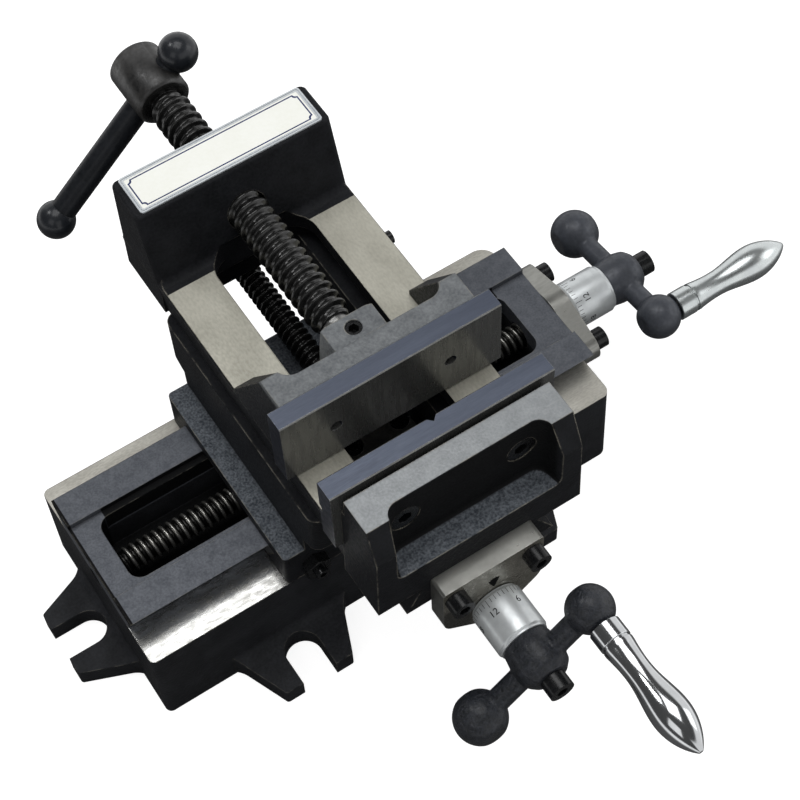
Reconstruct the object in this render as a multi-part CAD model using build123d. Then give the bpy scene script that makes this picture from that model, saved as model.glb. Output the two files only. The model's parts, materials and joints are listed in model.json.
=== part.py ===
from build123d import *
from math import cos, radians, sin, sqrt, tan
import os

# Cross slide vise for a drill press, in millimetres, Z up.
# Origin: centre of the base casting's bottom face.
# X points to the lower slide's crank, Y points to the vise's nut block.

# Driving dimensions of the slides
base_length = 233.0
base_width = 97.4
shoulder_height = 48.6
dovetail_height = 13.6
dovetail_root = 54.0
dovetail_angle = 60.0
slide_gap = 0.3
flank_gap = 0.15
roof_gap = 0.5
gib_thickness = 3.5
overrun = 1.0

# Rest position of the lower slide along X
saddle_offset = 7.5

# Base casting
base_draft = 1.6
base_left_corner = 3.0
base_near_corner = 4.5
base_far_corner = 8.0
channel_width = 40.0
channel_depth = 3.0
pocket_width = 34.0
pocket_depth = 25.2
pocket_left_wall = 11.5
pocket_right_wall = 15.5
pocket_corner = 6.0
core_wall = 9.0
core_roof = 8.0
core_rib = 12.0
core_corner = 8.0

# Clamping lugs of the base
lug_thickness = 10.0
lug_reach = 24.5
lug_tip_width = 33.4
lug_root_width = 56.0
lug_flare = 12.0
lug_wall_radius = 7.0
lug_tip_radius = 1.5
lug_spacing = 108.4
slot_width = 16.5
slot_depth = 22.0

# Lead screws of the two slides
feed_thread = 12.0
feed_root = 9.2
feed_lead = 3.6
thread_foot_share = 0.1
thread_crest_share = 0.35
feed_journal = 9.0
feed_collar = 16.0
feed_collar_length = 3.6
running_gap = 0.05
thread_relief = 0.5
x_screw_drop = 1.6
x_screw_tail = 10.0
x_tail_length = 10.0
screw_rise = 35.0
y_screw_end = 90.0

# Dials, cranks and handles of the two slides
dial_diameter = 22.8
dial_length = 21.5
dial_bevel = 0.7
dial_bore_gap = 0.02
crank_hub = 22.4
crank_hub_waist = 20.4
crank_hub_length = 18.5
crank_hub_nose = 14.5
crank_hub_round = 1.8
hub_wide_share = 0.3
hub_narrow_share = 0.62
hub_nose_share = 0.84
crank_arm = 10.0
crank_handle_radius = 30.0
crank_weight_radius = 34.8
crank_handle_ball = 10.1
crank_weight_ball = 11.4
crank_flat_share = 0.88
crank_bolt_head = 11.0
crank_bolt_height = 7.0
crank_bolt_shank = 5.0
crank_bolt_reach = 12.0
crank_washer_gap = 0.05
journal_end_gap = 1.5
hub_bore_gap = 1.0
x_crank_angle = 171.0
y_crank_angle = 38.0
handle_pin_diameter = 6.0
handle_pin_head = 8.0
handle_pin_head_length = 2.5
handle_bore_gap = 0.05
handle_length = 61.0
handle_ferrule = 13.6
handle_ferrule_length = 8.0
handle_groove = 0.6
handle_groove_width = 1.2
handle_waist = 11.6
handle_belly = 16.2
handle_tip = 2.0
handle_waist_share = 0.41
handle_belly_share = 0.74
handle_pin_share = 0.55
handle_start_share = 0.15
handle_end_share = 1.0
handle_end_gap = 0.3

# Bracket plates that carry the lead screws
bracket_thickness = 9.0
x_bracket_hub = 27.0
x_bracket_ear = 14.6
x_bracket_ear_spacing = 42.4
x_bracket_ear_drop = 0.5
x_bracket_screw_spacing = 42.4
y_bracket_hub = 29.0
y_bracket_ear = 18.0
y_bracket_ear_spacing = 29.0
y_bracket_ear_rise = 4.5
y_bracket_corner = 3.0
y_bracket_width = 47.0
y_bracket_rise = 30.0
y_bracket_screw_spacing = 36.0
y_bracket_screw_rise = 23.0

# Screws: head diameter, head height, shank diameter and hexagon socket
bracket_head = 9.6
bracket_head_height = 6.6
bracket_shank = 6.0
bracket_shank_length = 15.0
bracket_socket = 4.6
jaw_head = 12.6
jaw_head_height = 5.0
jaw_shank = 6.5
jaw_socket = 5.5
nut_head = 8.2
nut_head_height = 4.6
nut_shank = 5.0
nut_shank_length = 16.0
nut_socket = 4.0
socket_depth_share = 0.6
screw_hole_gap = 0.15
screw_end_gap = 0.5

# Saddle casting, between the two slides
saddle_length = 116.6
saddle_width = 96.6
saddle_depth = 97.4
saddle_overhang = 119.2
saddle_flange_drop = 12.4
saddle_slope_drop = 3.0
saddle_slope_rise = 2.5
saddle_corner = 5.0
saddle_flange_corner = 2.0
trough_width = 44.0

# Feed nuts and gib screws
x_nut_length = 30.0
x_nut_width = 27.0
x_nut_drop = 9.5
x_nut_screw_spacing = 18.0
y_nut_length = 30.0
y_nut_width = 32.0
y_nut_rise = 10.0
y_nut_place = -30.0
y_nut_screw_spacing = 22.4
gib_screw = 6.0
gib_screw_pitch = 45.0
gib_screw_proud = 3.0
gib_screw_socket = 3.0
gib_nut_across = 11.0
gib_nut_height = 5.0
nut_bevel_share = 0.6
x_gib_screw_drop = 6.2
y_gib_screw_drop = 7.4

# Vise body casting
bed_rise = 25.9
bed_thickness = 19.0
bed_width = 92.2
bed_foot_width = 89.2
bed_chamfer = 0.6
body_front = 106.6
body_rear = 93.0
body_rear_draft = 2.5
slot_top_width = 47.6
slot_keeper_width = 58.4
slot_low_width = 40.0
slot_keeper_sill = 3.0
slot_keeper_roof = 7.9
slot_front = 82.0
slot_low_rear = 68.0
slot_low_corner = 5.0
slot_rear = 63.0
slot_corner = 12.0

# Nut block at the rear of the vise body
block_height = 35.7
block_top_width = 92.0
block_front_foot = 61.0
block_front_top = 70.5
block_foot_round = 4.0
block_round = 1.5
block_side_round = 3.0

# Fixed jaw of the vise body
jaw_height = 37.5
jaw_width = 94.6
jaw_top_width = 91.6
jaw_seat = 82.3
jaw_relief = 2.3
jaw_relief_height = 10.0
jaw_wall = 10.4
jaw_recess_width = 69.2
jaw_recess_mouth = 75.6
jaw_recess_floor_rise = 0.5
jaw_recess_round = 6.0
jaw_recess_floor_round = 3.5
jaw_cheek_reach = 15.6
jaw_chamfer_drop = 16.6
jaw_screw_spacing = 52.4
jaw_screw_rise = 20.6
jaw_counterbore_depth = 5.2

# Jaw plates
plate_width = 100.0
plate_proud = 2.0
plate_thickness = 9.2
plate_foot_gap = 1.5
plate_hole = 5.4
plate_chamfer = 0.5
plate_screw_depth = 5.5
groove_width = 5.0
jaw_opening = 26.1

# Name plate on the nut block
name_width = 85.6
name_depth = 20.4
name_thickness = 0.8
name_corner = 1.5

# Moving jaw
moving_top_width = 88.6
moving_foot_width = 93.0
moving_wall = 9.8
moving_sole = 7.0
moving_sole_reach = 21.0
moving_sole_corner = 3.0
wing_spacing = 74.0
wing_top_reach = 14.3
wing_foot_reach = 37.8
wing_toe = 2.5
wing_root_round = 7.0
boss_width = 32.0
boss_top_width = 23.6
boss_rise = 17.5
boss_reach = 25.3
boss_round = 8.0
tongue_width = 46.8
tongue_length = 26.0
tongue_front = 3.0
keeper_width = 56.0
keeper_thickness = 7.0
keeper_length = 30.0
keeper_corner = 12.0
keeper_gap = 0.3
keeper_screw_spacing = 24.0
keeper_screw_place = 15.0
keeper_screw_depth = 4.9

# Clamp screw and tommy bar
clamp_rise = 13.6
clamp_thread = 18.0
clamp_root = 14.0
clamp_lead = 5.0
clamp_thread_start = -3.0
clamp_thread_end = 133.4
clamp_neck = 12.0
clamp_neck_depth = 17.0
clamp_groove = 8.6
clamp_groove_width = 4.4
clamp_groove_place = 6.3
clamp_head = 25.0
clamp_head_length = 27.0
bar_place = 10.9
clamp_head_chamfer = 1.6
retainer_screw = 7.0
retainer_tip = 4.0
retainer_socket = 4.0
retainer_recess = 0.8
bar_diameter = 11.8
bar_ball = 17.6
bar_ball_spacing = 97.0
bar_angle = 42.0
bar_gap = 0.08
bar_ball_stop = 0.3
bar_tenon = 6.0
bar_tenon_length = 10.4

# Places worked out from the driving dimensions
slope = 1 / tan(radians(dovetail_angle))
flank_shift = flank_gap / sin(radians(dovetail_angle))
gib_shift = gib_thickness / sin(radians(dovetail_angle))
base_dovetail_top = shoulder_height + dovetail_height
x_screw_height = shoulder_height - x_screw_drop
y_screw_height = x_screw_height + screw_rise
bed_underside = y_screw_height + bed_rise
bed_top = bed_underside + bed_thickness
clamp_height = bed_top + clamp_rise
jaw_top = bed_top + jaw_height
block_top = bed_top + block_height
boss_top = clamp_height + boss_rise
x_bracket_ear_height = x_screw_height - x_bracket_ear_drop
y_bracket_ear_height = y_screw_height + y_bracket_ear_rise
y_bracket_screw_height = y_screw_height + y_bracket_screw_rise
y_bracket_top = y_screw_height + y_bracket_rise
saddle_flange_top = y_screw_height - saddle_flange_drop
saddle_slope_low = y_screw_height - saddle_slope_drop
saddle_slope_high = y_screw_height + saddle_slope_rise
x_nut_bottom = x_screw_height - x_nut_drop
y_nut_top = y_screw_height + y_nut_rise
x_gib_screw_height = base_dovetail_top - x_gib_screw_drop
y_gib_screw_height = bed_underside - y_gib_screw_drop
slot_keeper_low = bed_underside + slot_keeper_sill
slot_keeper_high = bed_top - slot_keeper_roof
jaw_recess_floor = bed_top + jaw_recess_floor_rise
jaw_chamfer_foot = jaw_top - jaw_chamfer_drop
jaw_screw_height = bed_top + jaw_screw_rise
plate_bottom = bed_top + plate_foot_gap
plate_height = jaw_top + plate_proud - plate_bottom
pocket_top = base_dovetail_top - channel_depth
pocket_floor = pocket_top - pocket_depth
saddle_bottom = shoulder_height + slide_gap
saddle_roof = base_dovetail_top + roof_gap
saddle_top = bed_underside - slide_gap
body_dovetail_foot = bed_underside - dovetail_height
saddle_cradle = body_dovetail_foot - roof_gap
saddle_left = saddle_offset - saddle_length / 2
plate_top = plate_bottom + plate_height
fixed_plate_face = -(jaw_seat - plate_thickness)
moving_plate_face = fixed_plate_face + jaw_opening
moving_seat = moving_plate_face + plate_thickness
body_rear_foot = body_rear + body_rear_draft
jaw_back_wall = -(jaw_seat + jaw_wall + jaw_relief)
moving_sole_bottom = bed_top + slide_gap
x_plate_outer = base_length / 2 + bracket_thickness
y_plate_outer = -body_front - bracket_thickness
keeper_top = slot_keeper_high - keeper_gap
bar_axis = clamp_thread_end + slide_gap + bar_place


def block(x_low, x_high, y_low, y_high, z_low, z_high):
    """Rectangular solid between two corners."""
    centre = Location(((x_low + x_high) / 2, (y_low + y_high) / 2, (z_low + z_high) / 2))
    return centre * Box(x_high - x_low, y_high - y_low, z_high - z_low)


def prism_x(points, x_low, x_high):
    """Solid with an outline of (y, z) points, from x_low to x_high."""
    outline = Polyline(*[(x_low, y, z) for y, z in points], close=True)
    return extrude(make_face(outline), amount=x_high - x_low, dir=(1, 0, 0))


def prism_y(points, y_low, y_high):
    """Solid with an outline of (x, z) points, from y_low to y_high."""
    outline = Polyline(*[(x, y_low, z) for x, z in points], close=True)
    return extrude(make_face(outline), amount=y_high - y_low, dir=(0, 1, 0))


def rounded_column(x_low, x_high, y_low, y_high, z_low, z_high, corner):
    """Upright rectangular solid with four rounded vertical edges."""
    face = Location(((x_low + x_high) / 2, (y_low + y_high) / 2, z_low))
    outline = face * RectangleRounded(x_high - x_low, y_high - y_low, corner)
    return extrude(outline, amount=z_high - z_low, dir=(0, 0, 1))


def rod_x(x_low, x_high, y, z, diameter):
    """Round solid along X."""
    turn = Location(((x_low + x_high) / 2, y, z), (0, 90, 0))
    return turn * Cylinder(diameter / 2, x_high - x_low)


def rod_y(x, y_low, y_high, z, diameter):
    """Round solid along Y."""
    turn = Location((x, (y_low + y_high) / 2, z), (90, 0, 0))
    return turn * Cylinder(diameter / 2, y_high - y_low)


def rod_z(x, y, z_low, z_high, diameter):
    """Round solid along Z."""
    return Location((x, y, (z_low + z_high) / 2)) * Cylinder(diameter / 2, z_high - z_low)


def turned(points):
    """Solid of revolution about Z from (radius, height) points, closed on the axis."""
    ends = [(0, 0, points[0][1])] + [(r, 0, z) for r, z in points] + [(0, 0, points[-1][1])]
    return revolve(make_face(Polyline(*ends, close=True)), Axis.Z)


def threaded_rod(diameter, root, lead, length, relief):
    """Rod up Z with a row of thread rings, one for each turn of the screw."""
    turns = int((length - 2 * relief) / lead)
    start = (length - turns * lead) / 2
    points = [(root / 2, 0)]
    for turn in range(turns):
        foot = start + turn * lead
        points.append((root / 2, foot + lead * thread_foot_share))
        points.append((diameter / 2, foot + lead * thread_crest_share))
        points.append((diameter / 2, foot + lead * (1 - thread_crest_share)))
        points.append((root / 2, foot + lead * (1 - thread_foot_share)))
    points.append((root / 2, length))
    return turned(points)


def cap_screw(head, head_height, shank, shank_length, socket):
    """Socket head screw up Z: the head sits on zero and the shank hangs below."""
    solid = rod_z(0, 0, 0, head_height, head) + rod_z(0, 0, -shank_length, 0, shank)
    depth = head_height * socket_depth_share
    hexagon = Location((0, 0, head_height - depth)) * RegularPolygon(socket / 2, 6, major_radius=False)
    solid -= extrude(hexagon, amount=depth + overrun, dir=(0, 0, 1))
    return solid


def grub_screw(diameter, length, socket):
    """Headless screw up Z, from zero to its length, with a hexagon socket on top."""
    depth = diameter * socket_depth_share
    solid = rod_z(0, 0, 0, length, diameter)
    hexagon = Location((0, 0, length - depth)) * RegularPolygon(socket / 2, 6, major_radius=False)
    return solid - extrude(hexagon, amount=depth + overrun, dir=(0, 0, 1))


def hexagon_nut(across, height, bore):
    """Hexagon nut up Z from zero, with corners trimmed by a chamfered ring."""
    blank = extrude(RegularPolygon(across / 2, 6, major_radius=False), amount=height, dir=(0, 0, 1))
    corner = across / sqrt(3)
    bevel = (corner - across / 2) * nut_bevel_share
    ring = turned([(corner, 0), (corner, height - bevel), (corner - 2 * bevel, height)])
    return (blank & ring) - rod_z(0, 0, -overrun, height + overrun, bore)


def facing(x, y, z, direction):
    """Location that turns up Z to a direction and moves it to a point."""
    return Location(Plane(origin=(x, y, z), z_dir=direction))


def save(name, *solids):
    """Write one named piece, or one group of equal pieces, to its own file."""
    shapes = []
    for solid in solids:
        shapes.extend(solid.solids())
    piece = shapes[0] if len(shapes) == 1 else Compound(children=shapes)
    piece.label = name
    export_step(piece, f"parts/{name}.step")


def dovetail_points(root, foot, top):
    """Outline of a male dovetail: narrow at the foot height, wide at the top height."""
    wide = root + abs(top - foot) * slope
    return [(-root, foot), (root, foot), (wide, top), (-wide, top)]


def socket_points(root, foot, top, shift_low, shift_high):
    """Outline of the space for a dovetail, shifted apart on its two flanks."""
    wide = root + abs(top - foot) * slope
    return [(-root - shift_low, foot), (root + shift_high, foot),
            (wide + shift_high, top), (-wide - shift_low, top)]


def base_lug(direction, along, wall):
    """Clamping lug with a slot open at its tip, standing out from a base wall."""
    inner = -2 * base_draft
    root = lug_root_width / 2
    tip = lug_tip_width / 2
    wide = root + lug_flare
    sides = FilletPolyline((-wide, inner), (-root, inner), (-tip, lug_reach), (tip, lug_reach),
                           (root, inner), (wide, inner),
                           radius=[lug_flare, lug_tip_radius, lug_tip_radius, lug_flare])
    behind = inner - core_wall / 2
    back = Polyline((wide, inner), (wide, behind), (-wide, behind), (-wide, inner))
    plan = extrude(make_face([sides, back]), amount=lug_thickness + 2 * lug_wall_radius, dir=(0, 0, 1))
    rise = lug_thickness + 2 * lug_wall_radius
    profile = FilletPolyline((inner - core_wall, 0), (lug_reach + overrun, 0),
                             (lug_reach + overrun, lug_thickness), (0, lug_thickness),
                             (-base_draft, rise), (inner - core_wall, rise),
                             radius=[lug_tip_radius, lug_tip_radius, lug_wall_radius, lug_tip_radius])
    closing = Line((inner - core_wall, rise), (inner - core_wall, 0))
    side = make_face([profile, closing])
    side = Plane(origin=(-wide, 0, 0), x_dir=(0, 1, 0), z_dir=(1, 0, 0)) * side
    lug = plan & extrude(side, amount=2 * wide, dir=(1, 0, 0))
    centre = lug_reach - slot_depth + slot_width / 2
    lug -= block(-slot_width / 2, slot_width / 2, centre, lug_reach + 2 * overrun, -overrun, rise + overrun)
    lug -= rod_z(0, centre, -overrun, rise + overrun, slot_width)
    turns = {"left": Location((-wall, along, 0), (0, 0, 90)),
             "front": Location((along, -wall, 0), (0, 0, 180)),
             "rear": Location((along, wall, 0), (0, 0, 0))}
    return turns[direction] * lug


def base_casting():
    """Iron base with its male dovetail, screw pocket, cored underside and lugs."""
    half_length = base_length / 2
    half_width = base_width / 2
    foot = half_width + base_draft
    body = prism_x([(-foot, 0), (foot, 0), (half_width, shoulder_height), (-half_width, shoulder_height)],
                   -half_length, half_length)
    corners = ((-1, -1, base_left_corner), (-1, 1, base_left_corner),
               (1, -1, base_near_corner), (1, 1, base_far_corner))
    for end, side, radius in corners:
        edges = body.edges().filter_by(GeomType.LINE)
        corner = edges.sort_by_distance((end * half_length, side * half_width, shoulder_height / 2))[0]
        body = fillet(corner, radius)
    dovetail = dovetail_points(dovetail_root / 2, shoulder_height, base_dovetail_top)
    body += prism_x(dovetail, -half_length, half_length)
    for place in (-lug_spacing / 2, lug_spacing / 2):
        body += base_lug("front", place, foot)
    body += base_lug("left", 0, half_length)
    body += base_lug("rear", 0, foot)
    body -= block(-half_length - overrun, half_length + overrun, -channel_width / 2, channel_width / 2,
                  pocket_top, base_dovetail_top + overrun)
    body -= rounded_column(-half_length + pocket_left_wall, half_length - pocket_right_wall,
                           -pocket_width / 2, pocket_width / 2, pocket_floor, base_dovetail_top,
                           pocket_corner)
    roof = pocket_floor - core_roof
    side = half_width - core_wall
    body -= rounded_column(-half_length + core_wall, -core_rib / 2, -side, side, -overrun, roof, core_corner)
    body -= rounded_column(core_rib / 2, half_length - core_wall, -side, side, -overrun, roof, core_corner)
    body -= rod_x(-half_length - overrun, -half_length + pocket_left_wall + overrun, 0, x_screw_height,
                  x_screw_tail + 2 * running_gap)
    inner = half_length - pocket_right_wall - overrun
    body -= rod_x(inner, half_length + overrun, 0, x_screw_height, feed_thread + 2 * screw_end_gap)
    body -= rod_x(half_length - feed_collar_length - slide_gap, half_length + overrun, 0, x_screw_height,
                  feed_collar + 2 * screw_end_gap)
    depth = bracket_shank_length - bracket_thickness + screw_end_gap
    for side in (-1, 1):
        body -= rod_x(half_length - depth, half_length + overrun, side * x_bracket_screw_spacing / 2,
                      x_bracket_ear_height, bracket_shank + 2 * screw_hole_gap)
    return body


def bracket_plate(hub_height, rounds, screw_spacing, screw_height):
    """Bracket plate in the XY plane, thickness up Z: an outline drawn tight around round parts."""
    edges = []
    for place, height, diameter in rounds:
        edges.extend((Location((place, height, 0)) * Circle(diameter / 2)).edges())
    plate = extrude(make_hull(edges), amount=bracket_thickness, dir=(0, 0, 1))
    top = bracket_thickness + overrun
    plate -= rod_z(0, hub_height, -overrun, top, feed_journal + 2 * running_gap)
    hole = bracket_shank + 2 * screw_hole_gap
    for side in (-1, 1):
        plate -= rod_z(side * screw_spacing / 2, screw_height, -overrun, top, hole)
    return plate


def x_bracket_plate():
    """Oval plate of the lower slide: a hub between two ears."""
    rounds = [(0, x_screw_height, x_bracket_hub)]
    for side in (-1, 1):
        rounds.append((side * x_bracket_ear_spacing / 2, x_bracket_ear_height, x_bracket_ear))
    plate = bracket_plate(x_screw_height, rounds, x_bracket_screw_spacing, x_bracket_ear_height)
    return at_x_end(base_length / 2, 0) * plate


def y_bracket_plate():
    """Plate of the upper slide: square above, rounded below, with a hub between."""
    rounds = [(0, y_screw_height, y_bracket_hub)]
    corner = y_bracket_corner / 2
    for side in (-1, 1):
        rounds.append((side * y_bracket_ear_spacing / 2, y_bracket_ear_height, y_bracket_ear))
        rounds.append((side * (y_bracket_width / 2 - corner), y_bracket_top - corner, y_bracket_corner))
    plate = bracket_plate(y_screw_height, rounds, y_bracket_screw_spacing, y_bracket_screw_height)
    return at_y_end(-body_front, 0) * plate


def at_x_end(x, height):
    """Location that lays a flat piece against the base's right end, facing out along X."""
    return Location(Plane(origin=(x, 0, height), x_dir=(0, 1, 0), z_dir=(1, 0, 0)))


def at_y_end(y, height):
    """Location that lays a flat piece against the body's front end, facing out along minus Y."""
    return Location(Plane(origin=(saddle_offset, y, height), x_dir=(1, 0, 0), z_dir=(0, -1, 0)))


def bracket_screws(spacing):
    """Pair of screws for a bracket plate, heads up Z, spaced along X."""
    screw = cap_screw(bracket_head, bracket_head_height, bracket_shank, bracket_shank_length, bracket_socket)
    return [Location((side * spacing / 2, 0, 0)) * screw for side in (-1, 1)]


def feed_screw(inner_length, tail_diameter, tail_length):
    """Lead screw up Z: zero is the bracket plate's inner face, the journal points up."""
    collar_top = -slide_gap / 2
    collar_low = collar_top - feed_collar_length
    screw = Location((0, 0, -inner_length)) * threaded_rod(
        feed_thread, feed_root, feed_lead, inner_length + collar_low, thread_relief)
    screw += rod_z(0, 0, collar_low, collar_top, feed_collar)
    screw += rod_z(0, 0, collar_top, feed_journal_end(), feed_journal)
    if tail_length > 0:
        screw += rod_z(0, 0, -inner_length - tail_length, -inner_length, tail_diameter)
    hole = feed_journal_end() - crank_bolt_reach - screw_end_gap
    screw -= rod_z(0, 0, hole, feed_journal_end() + overrun, crank_bolt_shank + 2 * dial_bore_gap)
    return screw


def dial_foot():
    """Height of the dial's inner face above the bracket plate's inner face."""
    return bracket_thickness + slide_gap


def crank_foot():
    """Height of the crank hub's inner face above the bracket plate's inner face."""
    return dial_foot() + dial_length + crank_washer_gap


def feed_journal_end():
    """Height of the journal's end, just inside the crank hub's nose."""
    return crank_foot() + crank_hub_length - journal_end_gap


def dial():
    """Graduated collar up Z, with a bevelled inner rim for its marks."""
    outer = dial_diameter / 2
    rim = outer - dial_bevel
    ring = turned([(rim, 0), (outer, dial_bevel), (outer, dial_length - dial_bevel), (rim, dial_length)])
    ring -= rod_z(0, 0, -overrun, dial_length + overrun, feed_journal + 2 * dial_bore_gap)
    return Location((0, 0, dial_foot())) * ring


def crank_ball(radius, place, middle):
    """Ball of the crank with a flat on each side that faces along the screw."""
    flat = radius * crank_flat_share
    ball = Location((place, 0, middle)) * Sphere(radius)
    wide = 2 * radius
    return ball & block(place - wide, place + wide, -wide, wide, middle - flat, middle + flat)


def crank(angle):
    """Crank up Z: a barrel hub with a handle ball and a larger balance ball on two arms."""
    wide = crank_hub / 2
    waist = crank_hub_waist / 2
    nose = crank_hub_nose / 2
    middle = crank_hub_length / 2
    top = crank_hub_length
    hub = turned([(waist, 0), (wide, top * hub_wide_share), (wide, top * hub_narrow_share),
                  (waist, top * hub_nose_share), (nose, top)])
    rim = [edge for edge in hub.edges() if abs(edge.center().Z - top * hub_nose_share) < crank_hub_round / 2]
    hub = fillet(rim, crank_hub_round)
    body = hub + rod_x(-crank_weight_radius, crank_handle_radius, 0, middle, crank_arm)
    body += crank_ball(crank_handle_ball, crank_handle_radius, middle)
    body += crank_ball(crank_weight_ball, -crank_weight_radius, middle)
    body -= rod_z(0, 0, -overrun, crank_hub_length - hub_bore_gap, feed_journal + 2 * dial_bore_gap)
    body -= rod_z(0, 0, 0, crank_hub_length + overrun, crank_bolt_shank + 2 * screw_hole_gap)
    body -= rod_z(crank_handle_radius, 0, middle, middle + crank_handle_ball + overrun,
                  handle_pin_diameter + 2 * dial_bore_gap)
    return Location((0, 0, crank_foot()), (0, 0, angle)) * body


def handle_foot():
    """Height of the handle's inner end above the bracket plate's inner face."""
    return crank_foot() + crank_hub_length / 2 + crank_handle_ball * crank_flat_share + handle_end_gap


def handle_pin(angle):
    """Pin of the crank handle, screwed into the handle ball, with a head inside the handle."""
    low = crank_foot() + crank_hub_length / 2
    high = handle_foot() + handle_length * handle_pin_share
    pin = rod_z(0, 0, low, high, handle_pin_diameter)
    pin += rod_z(0, 0, high - handle_pin_head_length, high, handle_pin_head)
    return Location((0, 0, 0), (0, 0, angle)) * Location((crank_handle_radius, 0, 0)) * pin


def handle(angle):
    """Turned handle up Z: ferrule, groove, slim waist, full belly and a small tip."""
    ferrule = handle_ferrule / 2
    waist = handle_waist / 2 + handle_bore_gap
    belly = handle_belly / 2
    length = handle_length
    neck = handle_ferrule_length
    groove = neck + handle_groove_width
    profile = Spline((ferrule, 0, groove), (waist, 0, length * handle_waist_share),
                     (belly, 0, length * handle_belly_share), (handle_tip / 2, 0, length),
                     tangents=[(-handle_start_share, 0, 1), (-1, 0, handle_end_share)])
    low = Polyline((0, 0, 0), (ferrule, 0, 0), (ferrule, 0, neck), (ferrule - handle_groove, 0, neck),
                   (ferrule - handle_groove, 0, groove), (ferrule, 0, groove))
    high = Polyline((handle_tip / 2, 0, length), (0, 0, length), (0, 0, 0))
    body = revolve(make_face([low, profile, high]), Axis.Z)
    bore = length * handle_pin_share + handle_end_gap
    body -= rod_z(0, 0, -overrun, bore, handle_pin_diameter + 2 * handle_bore_gap)
    room = bore - handle_pin_head_length - 2 * handle_end_gap
    body -= rod_z(0, 0, room, bore, handle_pin_head + 2 * handle_bore_gap)
    return Location((0, 0, 0), (0, 0, angle)) * Location((crank_handle_radius, 0, handle_foot())) * body


def crank_bolt():
    """Screw that holds the crank on the lead screw's end."""
    screw = cap_screw(crank_bolt_head, crank_bolt_height, crank_bolt_shank, crank_bolt_reach, bracket_socket)
    return Location((0, 0, crank_foot() + crank_hub_length)) * screw


def saddle_casting():
    """Iron saddle with a female dovetail below along X and another above along Y."""
    centre = saddle_offset
    left = saddle_left
    right = centre + saddle_length / 2
    side = saddle_depth / 2
    body = rounded_column(left, right, -side, side, saddle_bottom, saddle_flange_top, saddle_flange_corner)
    reach = saddle_overhang / 2
    upper = prism_x([(-side, saddle_bottom), (side, saddle_bottom), (side, saddle_slope_low),
                     (reach, saddle_slope_high), (reach, saddle_top), (-reach, saddle_top),
                     (-reach, saddle_slope_high), (-side, saddle_slope_low)],
                    centre - saddle_width / 2, centre + saddle_width / 2)
    upright = [edge for edge in upper.edges().filter_by(Axis.Z) if edge.center().Z > saddle_slope_high]
    upper = fillet(upright, saddle_corner)
    body += upper
    root = dovetail_root / 2
    low = saddle_bottom - overrun
    body -= prism_x(socket_points(root - (shoulder_height - low) * slope, low, saddle_roof,
                                  flank_shift + gib_shift, flank_shift),
                    left - overrun, right + overrun)
    high = saddle_top + overrun
    foot = root - (high - bed_underside) * slope
    cradle = [(x + centre, z) for x, z in socket_points(foot, high, saddle_cradle, flank_shift,
                                                        flank_shift + gib_shift)]
    body -= prism_y(cradle, -reach - overrun, reach + overrun)
    body -= block(centre - trough_width / 2, centre + trough_width / 2, -reach - overrun, reach + overrun,
                  saddle_flange_top, high)
    for place in gib_screw_places():
        body -= rod_y(centre + place, -side - overrun, -root, x_gib_screw_height, gib_screw + 2 * running_gap)
        body -= rod_x(centre + root, centre + saddle_width / 2 + overrun, place, y_gib_screw_height,
                      gib_screw + 2 * running_gap)
    for sign in (-1, 1):
        body -= rod_z(centre, sign * x_nut_screw_spacing / 2, saddle_roof - overrun,
                      saddle_flange_top + overrun, nut_shank + 2 * screw_hole_gap)
        body -= rod_z(centre + sign * y_nut_screw_spacing / 2, y_nut_place, saddle_roof + screw_end_gap,
                      saddle_flange_top + overrun, nut_shank + 2 * screw_hole_gap)
    return body


def gib_screw_places():
    """Places of the gib screws along each slide, from the saddle's centre."""
    return [-gib_screw_pitch, 0, gib_screw_pitch]


def x_gib():
    """Gib strip of the lower slide, on the front flank of the base's dovetail."""
    low = saddle_bottom + slide_gap
    high = saddle_roof - slide_gap
    near = dovetail_root / 2 + flank_shift
    far = near + gib_shift - flank_shift / 2
    low_shift = (low - shoulder_height) * slope
    high_shift = (high - shoulder_height) * slope
    return prism_x([(-near - low_shift, low), (-far - low_shift, low), (-far - high_shift, high),
                    (-near - high_shift, high)],
                   saddle_left + slide_gap, saddle_left + saddle_length - slide_gap)


def y_gib():
    """Gib strip of the upper slide, on the right flank of the body's dovetail."""
    low = saddle_cradle + slide_gap
    high = saddle_top - slide_gap
    near = saddle_offset + dovetail_root / 2 + flank_shift
    far = near + gib_shift - flank_shift / 2
    low_shift = (bed_underside - low) * slope
    high_shift = (bed_underside - high) * slope
    reach = saddle_overhang / 2 - slide_gap
    return prism_y([(near + low_shift, low), (far + low_shift, low), (far + high_shift, high),
                    (near + high_shift, high)], -reach, reach)


def gib_tip_x():
    """Distance of the lower gib's outer flank from the centre, at the screws' height."""
    return dovetail_root / 2 + gib_shift + flank_shift / 2 + (x_gib_screw_height - shoulder_height) * slope


def gib_tip_y():
    """Distance of the upper gib's outer flank from the centre, at the screws' height."""
    return dovetail_root / 2 + gib_shift + flank_shift / 2 + (bed_underside - y_gib_screw_height) * slope


def gib_tip_lift():
    """How far a flat screw tip stays back so that its edge clears the sloping gib."""
    return gib_screw / 2 * slope


def x_gib_screws():
    """Grub screws that press the lower gib."""
    tip = gib_tip_x() + gib_tip_lift()
    length = saddle_depth / 2 + gib_nut_height + gib_screw_proud - tip
    screw = grub_screw(gib_screw, length, gib_screw_socket)
    return [facing(saddle_offset + place, -tip, x_gib_screw_height, (0, -1, 0)) * screw
            for place in gib_screw_places()]


def y_gib_screws():
    """Grub screws that press the upper gib."""
    tip = gib_tip_y() + gib_tip_lift()
    length = saddle_width / 2 + gib_nut_height + gib_screw_proud - tip
    screw = grub_screw(gib_screw, length, gib_screw_socket)
    return [facing(saddle_offset + tip, place, y_gib_screw_height, (1, 0, 0)) * screw
            for place in gib_screw_places()]


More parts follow.
